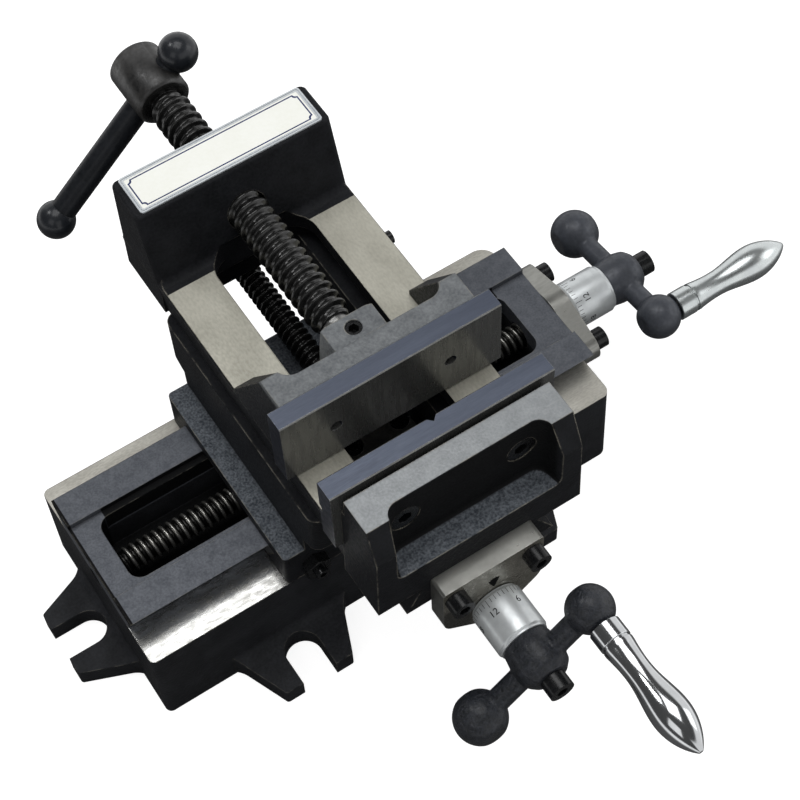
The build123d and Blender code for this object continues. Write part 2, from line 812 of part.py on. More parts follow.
def x_gib_nuts():
    """Lock nuts of the lower gib screws."""
    nut = hexagon_nut(gib_nut_across, gib_nut_height, gib_screw + 2 * running_gap)
    return [facing(saddle_offset + place, -saddle_depth / 2, x_gib_screw_height, (0, -1, 0)) * nut
            for place in gib_screw_places()]


def y_gib_nuts():
    """Lock nuts of the upper gib screws."""
    nut = hexagon_nut(gib_nut_across, gib_nut_height, gib_screw + 2 * running_gap)
    return [facing(saddle_offset + saddle_width / 2, place, y_gib_screw_height, (1, 0, 0)) * nut
            for place in gib_screw_places()]


def x_feed_nut():
    """Feed nut of the lower slide, hung under the saddle into the base's pocket."""
    centre = saddle_offset
    nut = block(centre - x_nut_length / 2, centre + x_nut_length / 2, -x_nut_width / 2, x_nut_width / 2,
                x_nut_bottom, saddle_roof)
    bore = feed_thread + 2 * running_gap
    nut -= rod_x(centre - x_nut_length, centre + x_nut_length, 0, x_screw_height, bore)
    depth = nut_shank_length + screw_end_gap - (saddle_flange_top - saddle_roof)
    for sign in (-1, 1):
        nut -= rod_z(centre, sign * x_nut_screw_spacing / 2, saddle_roof - depth, saddle_roof + overrun,
                     nut_shank + 2 * screw_hole_gap)
    return nut


def x_feed_nut_screws():
    """Screws from the trough floor into the lower feed nut."""
    screw = cap_screw(nut_head, nut_head_height, nut_shank, nut_shank_length, nut_socket)
    return [Location((saddle_offset, sign * x_nut_screw_spacing / 2, saddle_flange_top)) * screw
            for sign in (-1, 1)]


def y_feed_nut():
    """Feed nut of the upper slide, standing on the trough floor."""
    centre = saddle_offset
    low = y_nut_place - y_nut_length / 2
    high = y_nut_place + y_nut_length / 2
    nut = block(centre - y_nut_width / 2, centre + y_nut_width / 2, low, high, saddle_flange_top, y_nut_top)
    nut -= rod_y(centre, low - overrun, high + overrun, y_screw_height, feed_thread + 2 * running_gap)
    for sign in (-1, 1):
        place = centre + sign * y_nut_screw_spacing / 2
        nut -= rod_z(place, y_nut_place, saddle_flange_top - overrun, y_nut_top + overrun,
                     nut_shank + 2 * screw_hole_gap)
        nut -= rod_z(place, y_nut_place, y_nut_top - nut_head_height, y_nut_top + overrun,
                     nut_head + 2 * screw_hole_gap)
    return nut


def y_feed_nut_screws():
    """Screws down through the upper feed nut into the saddle."""
    seat = y_nut_top - nut_head_height
    length = seat - saddle_roof - 2 * screw_end_gap
    screw = cap_screw(nut_head, nut_head_height, nut_shank, length, nut_socket)
    return [Location((saddle_offset + sign * y_nut_screw_spacing / 2, y_nut_place, seat)) * screw
            for sign in (-1, 1)]


def body_envelope():
    """Side limits of the vise body casting: wide at the bed, narrower at the top."""
    foot = jaw_width / 2
    top = jaw_top_width / 2
    centre = saddle_offset
    return prism_y([(centre - foot, bed_underside), (centre + foot, bed_underside), (centre + top, jaw_top),
                    (centre - top, jaw_top)], -body_front - overrun, body_rear_foot + overrun)


def fixed_jaw_block():
    """Fixed jaw of the body with its two cheeks and the open recess between them."""
    centre = saddle_offset
    half = jaw_width / 2
    cheek = -(jaw_seat + jaw_cheek_reach + jaw_relief)
    seat_top = jaw_top - jaw_relief_height
    side = prism_x([(-jaw_seat, bed_underside), (-body_front, bed_underside), (-body_front, jaw_chamfer_foot),
                    (cheek, jaw_top), (-jaw_seat - jaw_relief, jaw_top), (-jaw_seat - jaw_relief, seat_top),
                    (-jaw_seat, seat_top)],
                   centre - half, centre + half)
    jaw = side & body_envelope()
    inner = jaw_recess_width / 2
    mouth = jaw_recess_mouth / 2
    front = -body_front - overrun
    floor = jaw_recess_floor
    plan = Polyline((centre - inner, jaw_back_wall, floor), (centre + inner, jaw_back_wall, floor),
                    (centre + mouth, front, floor), (centre - mouth, front, floor), close=True)
    recess = extrude(make_face(plan), amount=jaw_top - floor + overrun, dir=(0, 0, 1))
    upright = [edge for edge in recess.edges().filter_by(Axis.Z) if edge.center().Y > jaw_back_wall - overrun]
    recess = fillet(upright, jaw_recess_round)
    lower = [edge for edge in recess.edges()
             if abs(edge.center().Z - floor) < overrun / 2 and edge.center().Y > front + overrun]
    recess = fillet(lower, jaw_recess_floor_round)
    jaw -= recess
    for side in (-1, 1):
        place = centre + side * jaw_screw_spacing / 2
        jaw -= rod_y(place, jaw_back_wall - overrun, -jaw_seat + overrun, jaw_screw_height,
                     jaw_shank + 2 * screw_hole_gap)
        jaw -= rod_y(place, jaw_back_wall - overrun, jaw_back_wall + jaw_counterbore_depth, jaw_screw_height,
                     jaw_head + 2 * screw_hole_gap)
    return jaw


def nut_block():
    """Block at the rear of the body, threaded for the clamp screw."""
    centre = saddle_offset
    half = bed_width / 2
    top = block_top_width / 2
    side = prism_x([(block_front_foot, bed_underside), (body_rear_foot, bed_underside),
                    (body_rear, block_top), (block_front_top, block_top), (block_front_foot, bed_top)],
                   centre - half, centre + half)
    front = prism_y([(centre - half, bed_underside), (centre + half, bed_underside),
                     (centre + top, block_top), (centre - top, block_top)],
                    block_front_foot - overrun, body_rear_foot + overrun)
    solid = side & front
    upright = [edge for edge in solid.edges()
               if edge.center().Z > bed_top and edge.bounding_box().size.Z > (block_top - bed_top) / 2]
    solid = fillet(upright, block_side_round)
    rim = [edge for edge in solid.edges() if abs(edge.center().Z - block_top) < overrun / 2]
    solid = fillet(rim, block_round)
    return solid


def vise_body():
    """Vise body casting: bed with two rails, fixed jaw, nut block and lower dovetail."""
    centre = saddle_offset
    foot = bed_foot_width / 2
    half = bed_width / 2
    bed = prism_y([(centre - foot, bed_underside), (centre + foot, bed_underside),
                   (centre + half, bed_top - 2 * bed_chamfer), (centre + half - bed_chamfer, bed_top),
                   (centre - half + bed_chamfer, bed_top), (centre - half, bed_top - 2 * bed_chamfer)],
                  -jaw_seat - overrun, body_rear)
    body = bed + fixed_jaw_block() + nut_block()
    root = dovetail_root / 2
    level = [edge for edge in body.edges().filter_by(Axis.X) if abs(edge.center().Z - bed_top) < overrun / 2]
    foot_line = [edge for edge in level if abs(edge.center().Y - block_front_foot) < overrun / 2]
    body = fillet(foot_line, block_foot_round)
    dovetail = [(x + centre, z) for x, z in dovetail_points(root, bed_underside, body_dovetail_foot)]
    body += prism_y(dovetail, -body_front, body_rear)
    slots = ((slot_top_width, slot_keeper_high - overrun, bed_top + block_foot_round),
             (slot_keeper_width, slot_keeper_low, slot_keeper_high))
    for width, low, high in slots:
        body -= rounded_column(centre - width / 2, centre + width / 2, -slot_front, slot_rear, low, high,
                               slot_corner)
    low = slot_low_width / 2
    body -= rounded_column(centre - low, centre + low, -slot_front, slot_low_rear,
                           body_dovetail_foot - overrun, slot_keeper_low + overrun, slot_low_corner)
    body -= rod_y(centre, block_front_foot - overrun, body_rear_foot + overrun, clamp_height,
                  clamp_thread + 2 * running_gap)
    for side in (-1, 1):
        body -= rod_y(centre + side * y_bracket_screw_spacing / 2, -body_front - overrun,
                      -body_front + bracket_shank_length - bracket_thickness + screw_end_gap,
                      y_bracket_screw_height, bracket_shank + 2 * screw_hole_gap)
    return body


def jaw_plate(back, front_sign):
    """Hardened jaw plate; its back face lies at back and its front points along front_sign."""
    face = back + front_sign * plate_thickness
    low = min(back, face)
    high = max(back, face)
    centre = saddle_offset
    plate = block(centre - plate_width / 2, centre + plate_width / 2, low, high, plate_bottom, plate_top)
    long_edges = [edge for edge in plate.edges().filter_by(Axis.X) if edge.center().Z > plate_top - overrun]
    plate = chamfer(long_edges, plate_chamfer)
    depth = plate_screw_depth + screw_end_gap
    for side in (-1, 1):
        place = centre + side * jaw_screw_spacing / 2
        plate -= rod_y(place, low - overrun, high + overrun, jaw_screw_height, plate_hole)
        plate -= rod_y(place, min(back, back + front_sign * depth), max(back, back + front_sign * depth),
                       jaw_screw_height, jaw_shank + 2 * screw_hole_gap)
    return plate


def fixed_jaw_plate():
    """Plate of the fixed jaw, with an upright and a level V groove for round work."""
    plate = jaw_plate(-jaw_seat, 1)
    face = fixed_plate_face
    centre = saddle_offset
    deep = groove_width / 2
    wide = deep + overrun
    upright = Polyline((centre - wide, face + overrun, plate_bottom - overrun),
                       (centre + wide, face + overrun, plate_bottom - overrun),
                       (centre, face - deep, plate_bottom - overrun), close=True)
    plate -= extrude(make_face(upright), amount=plate_height + 2 * overrun, dir=(0, 0, 1))
    middle = jaw_screw_height
    end = plate_width / 2 + overrun
    plate -= prism_x([(face + overrun, middle - wide), (face + overrun, middle + wide),
                      (face - deep, middle)], centre - end, centre + end)
    return plate


def fixed_jaw_screws():
    """Screws from the recess through the jaw wall into the fixed plate."""
    seat = jaw_back_wall + jaw_counterbore_depth
    length = -jaw_seat - seat + plate_screw_depth
    screw = cap_screw(jaw_head, jaw_head_height, jaw_shank, length, jaw_socket)
    return [facing(saddle_offset + side * jaw_screw_spacing / 2, seat, jaw_screw_height, (0, -1, 0)) * screw
            for side in (-1, 1)]


def name_plate():
    """Blank name plate with clipped corners, laid on the nut block."""
    middle = (block_front_top + body_rear) / 2
    plate = rounded_column(saddle_offset - name_width / 2, saddle_offset + name_width / 2,
                           middle - name_depth / 2, middle + name_depth / 2,
                           block_top, block_top + name_thickness, name_corner)
    return plate


def wing_outline():
    """Side outline of the moving jaw's end wings."""
    return [(moving_seat, moving_sole_bottom), (moving_seat + wing_foot_reach, moving_sole_bottom),
            (moving_seat + wing_foot_reach, moving_sole_bottom + wing_toe),
            (moving_seat + wing_top_reach, jaw_top), (moving_seat, jaw_top)]


def moving_jaw():
    """Moving jaw casting: wall, sole, two wings, a rear boss and a tongue in the slot."""
    centre = saddle_offset
    half = moving_foot_width / 2
    top = moving_top_width / 2
    limits = prism_y([(centre - half, moving_sole_bottom), (centre + half, moving_sole_bottom),
                      (centre + top, jaw_top), (centre - top, jaw_top)],
                     moving_seat - overrun, moving_seat + wing_foot_reach + overrun)
    jaw = limits & prism_x(wing_outline(), centre - half, centre + half)
    inner = wing_spacing / 2
    far = moving_seat + wing_foot_reach + 2 * wing_root_round
    sole_top = moving_sole_bottom + moving_sole
    jaw -= rounded_column(centre - inner, centre + inner, moving_seat + moving_wall, far, sole_top,
                          jaw_top + overrun, wing_root_round)
    jaw -= rounded_column(centre - inner, centre + inner, moving_seat + moving_sole_reach, far,
                          moving_sole_bottom - overrun, sole_top + overrun, moving_sole_corner)
    rear = moving_seat + boss_reach
    boss = block(centre - boss_width / 2, centre + boss_width / 2, moving_seat + moving_wall / 2, rear,
                 moving_sole_bottom, boss_top)
    upright = [edge for edge in boss.edges().filter_by(Axis.Z) if edge.center().Y > rear - overrun]
    boss = fillet(upright, boss_round)
    wide = boss_width / 2
    narrow = boss_top_width / 2
    boss &= prism_y([(centre - wide, moving_sole_bottom), (centre + wide, moving_sole_bottom),
                     (centre + wide, clamp_height), (centre + narrow, boss_top),
                     (centre - narrow, boss_top), (centre - wide, clamp_height)],
                    moving_seat, rear + overrun)
    jaw += boss
    tongue = moving_seat + tongue_front
    jaw += block(centre - tongue_width / 2, centre + tongue_width / 2, tongue, tongue + tongue_length,
                 keeper_top, moving_sole_bottom + overrun)
    neck_room = clamp_neck + 2 * running_gap
    jaw -= rod_y(centre, rear - clamp_neck_depth - slide_gap, rear + overrun, clamp_height, neck_room)
    jaw -= rod_z(centre, retainer_place(), clamp_height, boss_top + overrun, retainer_screw + 2 * running_gap)
    for side in (-1, 1):
        place = centre + side * jaw_screw_spacing / 2
        jaw -= rod_y(place, moving_seat - overrun, moving_seat + moving_wall + overrun, jaw_screw_height,
                     jaw_shank + 2 * screw_hole_gap)
        jaw -= rod_y(place, moving_seat + moving_wall - jaw_counterbore_depth, moving_seat + wing_foot_reach,
                     jaw_screw_height, jaw_head + 2 * screw_hole_gap)
        jaw -= rod_z(centre + side * keeper_screw_spacing / 2, moving_seat + keeper_screw_place,
                     keeper_top - overrun, moving_sole_bottom + keeper_screw_depth + screw_end_gap,
                     nut_shank + 2 * screw_hole_gap)
    return jaw


def retainer_place():
    """Y place of the screw that keeps the clamp screw in the boss."""
    return moving_seat + boss_reach - clamp_groove_place


def moving_jaw_screws():
    """Screws from behind through the moving jaw's wall into its plate."""
    seat = moving_seat + moving_wall - jaw_counterbore_depth
    length = seat - moving_seat + plate_screw_depth
    screw = cap_screw(jaw_head, jaw_head_height, jaw_shank, length, jaw_socket)
    return [facing(saddle_offset + side * jaw_screw_spacing / 2, seat, jaw_screw_height, (0, 1, 0)) * screw
            for side in (-1, 1)]


def keeper_plate():
    """Keeper under the rails that holds the moving jaw down."""
    centre = saddle_offset
    low = moving_seat + keeper_screw_place - keeper_length / 2
    plate = rounded_column(centre - keeper_width / 2, centre + keeper_width / 2, low, low + keeper_length,
                           keeper_top - keeper_thickness, keeper_top, keeper_corner)
    for side in (-1, 1):
        place = centre + side * keeper_screw_spacing / 2
        plate -= rod_z(place, moving_seat + keeper_screw_place, keeper_top - keeper_thickness - overrun,
                       keeper_top + overrun, nut_shank + 2 * screw_hole_gap)
        plate -= rod_z(place, moving_seat + keeper_screw_place, keeper_top - keeper_thickness - overrun,
                       keeper_top - keeper_thickness + nut_head_height, nut_head + 2 * screw_hole_gap)
    return plate


def keeper_screws():
    """Screws from below through the keeper into the moving jaw's tongue."""
    seat = keeper_top - keeper_thickness + nut_head_height
    length = moving_sole_bottom + keeper_screw_depth - seat
    screw = cap_screw(nut_head, nut_head_height, nut_shank, length, nut_socket)
    return [facing(saddle_offset + side * keeper_screw_spacing / 2, moving_seat + keeper_screw_place, seat,
                   (0, 0, -1)) * screw for side in (-1, 1)]


def retainer():
    """Set screw in the boss whose tip runs in the clamp screw's groove."""
    tip = clamp_height + clamp_groove / 2 + running_gap * 2
    shoulder = clamp_height + clamp_neck / 2 + running_gap * 2
    length = boss_top - retainer_recess - shoulder
    screw = Location((0, 0, shoulder)) * grub_screw(retainer_screw, length, retainer_socket)
    screw += rod_z(0, 0, tip, shoulder, retainer_tip)
    return Location((saddle_offset, retainer_place(), 0)) * screw


def clamp_screw():
    """Clamp screw with a grooved neck in the boss and a cross drilled head."""
    centre = saddle_offset
    nose = moving_seat + boss_reach - clamp_neck_depth
    length = clamp_thread_end - clamp_thread_start
    thread = facing(centre, clamp_thread_start, clamp_height, (0, 1, 0)) * threaded_rod(
        clamp_thread, clamp_root, clamp_lead, length, thread_relief)
    screw = thread + rod_y(centre, nose, clamp_thread_start, clamp_height, clamp_neck)
    ring = rod_y(centre, retainer_place() - clamp_groove_width / 2, retainer_place() + clamp_groove_width / 2,
                 clamp_height, clamp_neck + overrun)
    ring -= rod_y(centre, retainer_place() - clamp_groove_width, retainer_place() + clamp_groove_width,
                  clamp_height, clamp_groove)
    screw -= ring
    head_start = clamp_thread_end + slide_gap
    outer = clamp_head / 2
    bevel = clamp_head_chamfer
    head = turned([(outer - bevel, -slide_gap), (outer, bevel), (outer, clamp_head_length - bevel / 2),
                   (outer - bevel / 2, clamp_head_length)])
    screw += facing(centre, head_start, clamp_height, (0, 1, 0)) * head
    screw -= bar_location() * rod_z(0, 0, -clamp_head, clamp_head, bar_diameter + 2 * bar_gap)
    return screw


def bar_location():
    """Location of the tommy bar: its axis crosses the screw head and leans in X and Z."""
    lean = radians(bar_angle)
    return facing(saddle_offset, bar_axis, clamp_height, (cos(lean), 0, sin(lean)))


def bar_near():
    """Distance of the near ball's centre from the screw's axis at rest."""
    return clamp_head / 2 + sqrt((bar_ball / 2) ** 2 - (bar_diameter / 2) ** 2) + bar_ball_stop


def tommy_bar():
    """Round bar that slides through the clamp screw's head, with a tenon at each end."""
    near = bar_near()
    far = near - bar_ball_spacing
    bar = rod_z(0, 0, far + bar_tenon_length / 2, near - bar_tenon_length / 2, bar_diameter)
    bar += rod_z(0, 0, far - bar_ball / 4, near + bar_ball / 4, bar_tenon)
    return bar_location() * bar


def tommy_balls():
    """Ball ends pressed on the tommy bar's tenons."""
    near = bar_near()
    balls = []
    for place, inward in ((near, -1), (near - bar_ball_spacing, 1)):
        ball = Location((0, 0, place)) * Sphere(bar_ball / 2)
        shoulder = place + inward * bar_tenon_length / 2
        mouth = place + inward * bar_ball
        blind = place - inward * bar_ball / 4
        ball -= rod_z(0, 0, min(shoulder, mouth), max(shoulder, mouth), bar_diameter + 2 * dial_bore_gap)
        ball -= rod_z(0, 0, min(shoulder, blind), max(shoulder, blind), bar_tenon + 2 * dial_bore_gap)
        balls.append(bar_location() * ball)
    return balls


def x_drive():
    """Lead screw, dial, crank and handle of the lower slide, along X."""
    place = at_x_end(base_length / 2, x_screw_height)
    inner = base_length - pocket_left_wall - slide_gap
    tail = pocket_left_wall + slide_gap - (pocket_left_wall - x_tail_length)
    save("x_lead_screw", place * feed_screw(inner, x_screw_tail, tail))
    save("x_dial", place * dial())
    save("x_crank", place * crank(x_crank_angle))
    save("x_crank_bolt", place * crank_bolt())
    save("x_handle_pin", place * handle_pin(x_crank_angle))
    save("x_handle", place * handle(x_crank_angle))


def y_drive():
    """Lead screw, dial, crank and handle of the upper slide, along minus Y."""
    place = at_y_end(-body_front, y_screw_height)
    save("y_lead_screw", place * feed_screw(y_screw_end + body_front, feed_root, 0))
    save("y_dial", place * dial())
    save("y_crank", place * crank(y_crank_angle))
    save("y_crank_bolt", place * crank_bolt())
    save("y_handle_pin", place * handle_pin(y_crank_angle))
    save("y_handle", place * handle(y_crank_angle))


def brackets():
    """Bracket plates of both slides and their screws."""
    save("x_bracket_plate", x_bracket_plate())
    x_face = at_x_end(x_plate_outer, x_bracket_ear_height)
    save("x_bracket_screws", *[x_face * screw for screw in bracket_screws(x_bracket_screw_spacing)])
    save("y_bracket_plate", y_bracket_plate())
    y_face = at_y_end(y_plate_outer, y_bracket_screw_height)
    save("y_bracket_screws", *[y_face * screw for screw in bracket_screws(y_bracket_screw_spacing)])


def main():
    """Build every piece and write it to its own file."""
    os.makedirs("parts", exist_ok=True)
    save("base_casting", base_casting())
    brackets()
    x_drive()
    save("saddle_casting", saddle_casting())
    save("x_gib", x_gib())
    save("x_gib_screws", *x_gib_screws())
    save("x_gib_lock_nuts", *x_gib_nuts())
    save("y_gib", y_gib())
    save("y_gib_screws", *y_gib_screws())
    save("y_gib_lock_nuts", *y_gib_nuts())
    save("x_feed_nut", x_feed_nut())
    save("x_feed_nut_screws", *x_feed_nut_screws())
    save("y_feed_nut", y_feed_nut())
    save("y_feed_nut_screws", *y_feed_nut_screws())
    save("vise_body_casting", vise_body())
    save("fixed_jaw_plate", fixed_jaw_plate())
    save("fixed_jaw_screws", *fixed_jaw_screws())
    save("name_plate", name_plate())
    y_drive()
    save("moving_jaw_casting", moving_jaw())
    save("moving_jaw_plate", jaw_plate(moving_seat, -1))
    save("moving_jaw_screws", *moving_jaw_screws())
    save("jaw_keeper_plate", keeper_plate())
    save("jaw_keeper_screws", *keeper_screws())
    save("clamp_retainer_screw", retainer())
    save("clamp_screw", clamp_screw())
    save("tommy_bar", tommy_bar())
    save("tommy_bar_balls", *tommy_balls())


main()
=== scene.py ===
"""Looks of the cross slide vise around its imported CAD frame, in metres, Z up."""

import json
import logging
import math
from dataclasses import dataclass, field
from enum import Enum

import bmesh
import bpy
from mathutils import Matrix, Vector


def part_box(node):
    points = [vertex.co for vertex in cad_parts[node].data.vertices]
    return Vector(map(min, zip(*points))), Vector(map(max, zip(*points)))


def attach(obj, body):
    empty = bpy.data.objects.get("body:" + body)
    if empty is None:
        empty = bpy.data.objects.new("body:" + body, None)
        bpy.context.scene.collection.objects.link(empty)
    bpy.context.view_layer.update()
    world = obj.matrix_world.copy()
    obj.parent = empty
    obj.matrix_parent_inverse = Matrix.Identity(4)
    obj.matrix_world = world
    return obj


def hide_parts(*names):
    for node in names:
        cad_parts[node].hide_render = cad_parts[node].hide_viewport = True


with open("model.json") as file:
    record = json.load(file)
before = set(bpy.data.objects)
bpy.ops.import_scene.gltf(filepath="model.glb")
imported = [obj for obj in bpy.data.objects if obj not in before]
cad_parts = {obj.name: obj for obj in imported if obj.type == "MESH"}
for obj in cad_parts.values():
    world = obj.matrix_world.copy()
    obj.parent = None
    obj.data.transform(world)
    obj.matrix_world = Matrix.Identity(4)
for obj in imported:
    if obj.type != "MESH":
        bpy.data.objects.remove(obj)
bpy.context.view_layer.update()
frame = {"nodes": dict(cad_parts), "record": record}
MM = 0.001
CREST = "crest"
# Colour of the painted shade that darkens corners and creases where ambient occlusion finds them
CORNER_SHADE_COLOUR = (0.006, 0.006, 0.007)
# Colour of the painted shade in thread roots
THREAD_ROOT_SHADE = (0.006, 0.006, 0.006)
log = logging.getLogger("cross_slide_vise")

Point = tuple[float, float]
Vec = tuple[float, float, float]
Colour = tuple[float, float, float]
Socket = bpy.types.NodeSocket


class Axis(Enum):
    """Way that a turned piece points, as the columns of its turning matrix."""

    X = ((0, 1, 0), (0, 0, 1), (1, 0, 0))
    Y = ((0, 0, 1), (1, 0, 0), (0, 1, 0))
    MINUS_Y = ((1, 0, 0), (0, 0, 1), (0, -1, 0))

    @property
    def way(self) -> Vector:
        """Direction of the axis."""
        return Vector(self.value[2])

    def split(self, off: Vector) -> tuple[float, float]:
        """Distance of a point along the axis and from it."""
        along = off.dot(self.way)
        return along, (off - self.way * along).length

    def matrix(self, origin: Vec) -> Matrix:
        """Matrix that lays local +Z along this axis at an origin in millimetres."""
        turn = Matrix(self.value).transposed().to_4x4()
        return Matrix.Translation(Vector(origin) * MM) @ turn


def tint(red: int, green: int, blue: int) -> Colour:
    """Turn a screen colour from 0 to 255 into a linear one.

    Args:
        red: Red from 0 to 255.
        green: Green from 0 to 255.
        blue: Blue from 0 to 255.

    Returns:
        The linear colour.
    """
    parts = [part / 255 for part in (red, green, blue)]
    return tuple(part / 12.92 if part <= 0.04045 else ((part + 0.055) / 1.055) ** 2.4 for part in parts)


class Graph:
    """A shader node tree with short calls that add and join nodes."""

    def __init__(self, tree: bpy.types.NodeTree) -> None:
        """Keep the tree that the nodes go into."""
        self.tree = tree

    def feed(self, socket: Socket, value: object) -> None:
        """Join a socket to another, or set its value.

        Args:
            socket: Input to fill.
            value: Output to join, or a plain value.
        """
        if isinstance(value, bpy.types.NodeSocket):
            self.tree.links.new(value, socket)
        elif socket.type == "RGBA" and len(value) == 3:
            socket.default_value = (*value, 1)
        else:
            socket.default_value = value

    def add(self, kind: str, inputs: dict | None = None, **settings: object) -> bpy.types.Node:
        """Add a node.

        Args:
            kind: Blender's name of the node type.
            inputs: Values or outputs for its inputs, by name or number.
            settings: The node's own settings.

        Returns:
            The new node.
        """
        node = self.tree.nodes.new(kind)
        for name, value in settings.items():
            setattr(node, name, value)
        for name, value in (inputs or {}).items():
            self.feed(node.inputs[name], value)
        return node

    def maths(self, operation: str, first: object, second: object = 0.0, clamp: bool = False) -> Socket:
        """Combine two numbers.

        Args:
            operation: Name of the sum to do.
            first: First number or output.
            second: Second number or output.
            clamp: Whether the result stays between 0 and 1.

        Returns:
            The result's output.
        """
        node = self.add("ShaderNodeMath", {0: first, 1: second}, operation=operation, use_clamp=clamp)
        return node.outputs[0]

    def plus(self, first: object, second: object) -> Socket:
        """Add two numbers."""
        return self.maths("ADD", first, second)

    def minus(self, first: object, second: object) -> Socket:
        """Take the second number from the first."""
        return self.maths("SUBTRACT", first, second)

    def times(self, first: object, second: object) -> Socket:
        """Multiply two numbers."""
        return self.maths("MULTIPLY", first, second)

    def vector(self, operation: str, first: object, second: object = (0.0, 0.0, 0.0)) -> bpy.types.Node:
        """Combine two vectors and return the node, whose outputs are Vector and Value."""
        return self.add("ShaderNodeVectorMath", {0: first, 1: second}, operation=operation)

    def ramp(self, value: object, low: float, high: float) -> Socket:
        """Spread a value smoothly so that low gives 0 and high gives 1."""
        node = self.add("ShaderNodeMapRange", {0: value, 1: low, 2: high}, interpolation_type="SMOOTHSTEP")
        return node.outputs[0]

    def mix(self, factor: object, first: object, second: object) -> Socket:
        """Blend two numbers by a factor."""
        return self.add("ShaderNodeMix", {0: factor, 2: first, 3: second}, data_type="FLOAT").outputs[0]

    def paint(self, factor: object, first: object, second: object) -> Socket:
        """Blend two colours by a factor."""
        return self.add("ShaderNodeMix", {0: factor, 6: first, 7: second}, data_type="RGBA").outputs[2]

    def place(self) -> Socket:
        """Output of the point's own coordinates on the piece."""
        return self.add("ShaderNodeTexCoord").outputs["Object"]

    def noise(self, at: Socket, scale: object, detail: float) -> Socket:
        """Output of a soft noise between 0 and 1."""
        return self.add("ShaderNodeTexNoise", {"Vector": at, "Scale": scale, "Detail": detail}).outputs[0]

    def group(self, tree: bpy.types.NodeTree, inputs: dict) -> bpy.types.Node:
        """Place a shared group with its own values."""
        node = self.add("ShaderNodeGroup", node_tree=tree)
        for name, value in inputs.items():
            self.feed(node.inputs[name], value)
        return node


def emptied(owner: bpy.types.Material | bpy.types.World) -> Graph:
    """Graph of a material or world whose first nodes are cleared away."""
    owner.use_nodes = True
    owner.node_tree.nodes.clear()
    return Graph(owner.node_tree)


class SharedGroups:
    """Shader effects that several finishes use, each built once."""

    def __init__(self) -> None:
        """Build every group."""
        self.wear = self.edge_wear()
        self.pattern = self.surface_pattern()
        self.zone = self.box_zone()

    @staticmethod
    def begin(name: str, inputs: dict[str, str], outputs: dict[str, str]) -> tuple:
        """Start a group.

        Args:
            name: Name of the group.
            inputs: Socket types by input name.
            outputs: Socket types by output name.

        Returns:
            The graph, its input node and its output node.
        """
        tree = bpy.data.node_groups.new(name, "ShaderNodeTree")
        for way, sockets in (("INPUT", inputs), ("OUTPUT", outputs)):
            for label, kind in sockets.items():
                tree.interface.new_socket(label, in_out=way, socket_type="NodeSocket" + kind)
        graph = Graph(tree)
        return graph, graph.add("NodeGroupInput"), graph.add("NodeGroupOutput")

    def edge_wear(self) -> bpy.types.NodeTree:
        """Mask of rubbed outer edges and of painted shade in corners and creases, with normals that round
        each edge.
        """
        graph, given, out = self.begin(
            "edge_wear", {"Radius": "Float", "Scale": "Float"},
            {"Edge": "Float", "Corner Shade": "Float", "Normal": "Vector"})
        round_over = graph.add("ShaderNodeBevel", {"Radius": given.outputs["Radius"]}, samples=4).outputs[0]
        flat = graph.add("ShaderNodeNewGeometry").outputs["Normal"]
        bend = graph.minus(1.0, graph.vector("DOT_PRODUCT", round_over, flat).outputs["Value"])
        reach = graph.times(given.outputs["Radius"], 4.0)
        corner = graph.add("ShaderNodeAmbientOcclusion", {"Distance": reach}, samples=4, only_local=True)
        shade = corner.outputs["AO"]
        broken = graph.ramp(graph.noise(graph.place(), given.outputs["Scale"], 4.0), 0.38, 0.6)
        edge = graph.times(graph.ramp(bend, 0.02, 0.12), graph.ramp(shade, 0.72, 0.95))
        graph.feed(out.inputs["Edge"], graph.times(edge, broken))
        # Painted shade: corners and creases found by ambient occlusion are darkened
        graph.feed(out.inputs["Corner Shade"], graph.minus(1.0, graph.ramp(shade, 0.25, 0.85)))
        graph.feed(out.inputs["Normal"], round_over)
        return graph.tree

    def surface_pattern(self) -> bpy.types.NodeTree:
        """Broad blotches, fine grain and a height, stretched along a given way."""
        graph, given, out = self.begin(
            "surface_pattern", {"Stretch": "Vector", "Scale": "Float", "Fineness": "Float"},
            {"Blotch": "Float", "Grain": "Float", "Height": "Float"})
        at = graph.vector("MULTIPLY", graph.place(), given.outputs["Stretch"]).outputs[0]
        blotch = graph.noise(at, given.outputs["Scale"], 4.0)
        fine = graph.noise(at, graph.times(given.outputs["Scale"], given.outputs["Fineness"]), 5.0)
        graph.feed(out.inputs["Blotch"], graph.ramp(blotch, 0.3, 0.7))
        graph.feed(out.inputs["Grain"], graph.ramp(fine, 0.28, 0.72))
        graph.feed(out.inputs["Height"], graph.mix(0.75, blotch, fine))
        return graph.tree

    def box_zone(self) -> bpy.types.NodeTree:
        """Mask that is 1 inside a box of the piece's coordinates, on faces that face one way."""
        graph, given, out = self.begin(
            "box_zone", {"Low": "Vector", "High": "Vector", "Feather": "Float", "Facing": "Vector"},
            {"Mask": "Float"})
        at = graph.place()
        sides = []
        for node in (graph.vector("SUBTRACT", at, given.outputs["Low"]),
                     graph.vector("SUBTRACT", given.outputs["High"], at)):
            parts = graph.add("ShaderNodeSeparateXYZ", {0: node.outputs[0]})
            sides.extend(parts.outputs)
        inside = sides[0]
        for side in sides[1:]:
            inside = graph.maths("MINIMUM", inside, side)
        mask = graph.maths("DIVIDE", inside, given.outputs["Feather"], clamp=True)
        flat = graph.add("ShaderNodeNewGeometry").outputs["True Normal"]
        turned = graph.vector("DOT_PRODUCT", flat, given.outputs["Facing"]).outputs["Value"]
        length = graph.vector("LENGTH", given.outputs["Facing"]).outputs["Value"]
        wanted = graph.maths("GREATER_THAN", turned, graph.times(length, 0.8))
        free = graph.maths("LESS_THAN", length, 0.5)
        graph.feed(out.inputs["Mask"], graph.times(mask, graph.maths("MAXIMUM", wanted, free)))
        return graph.tree


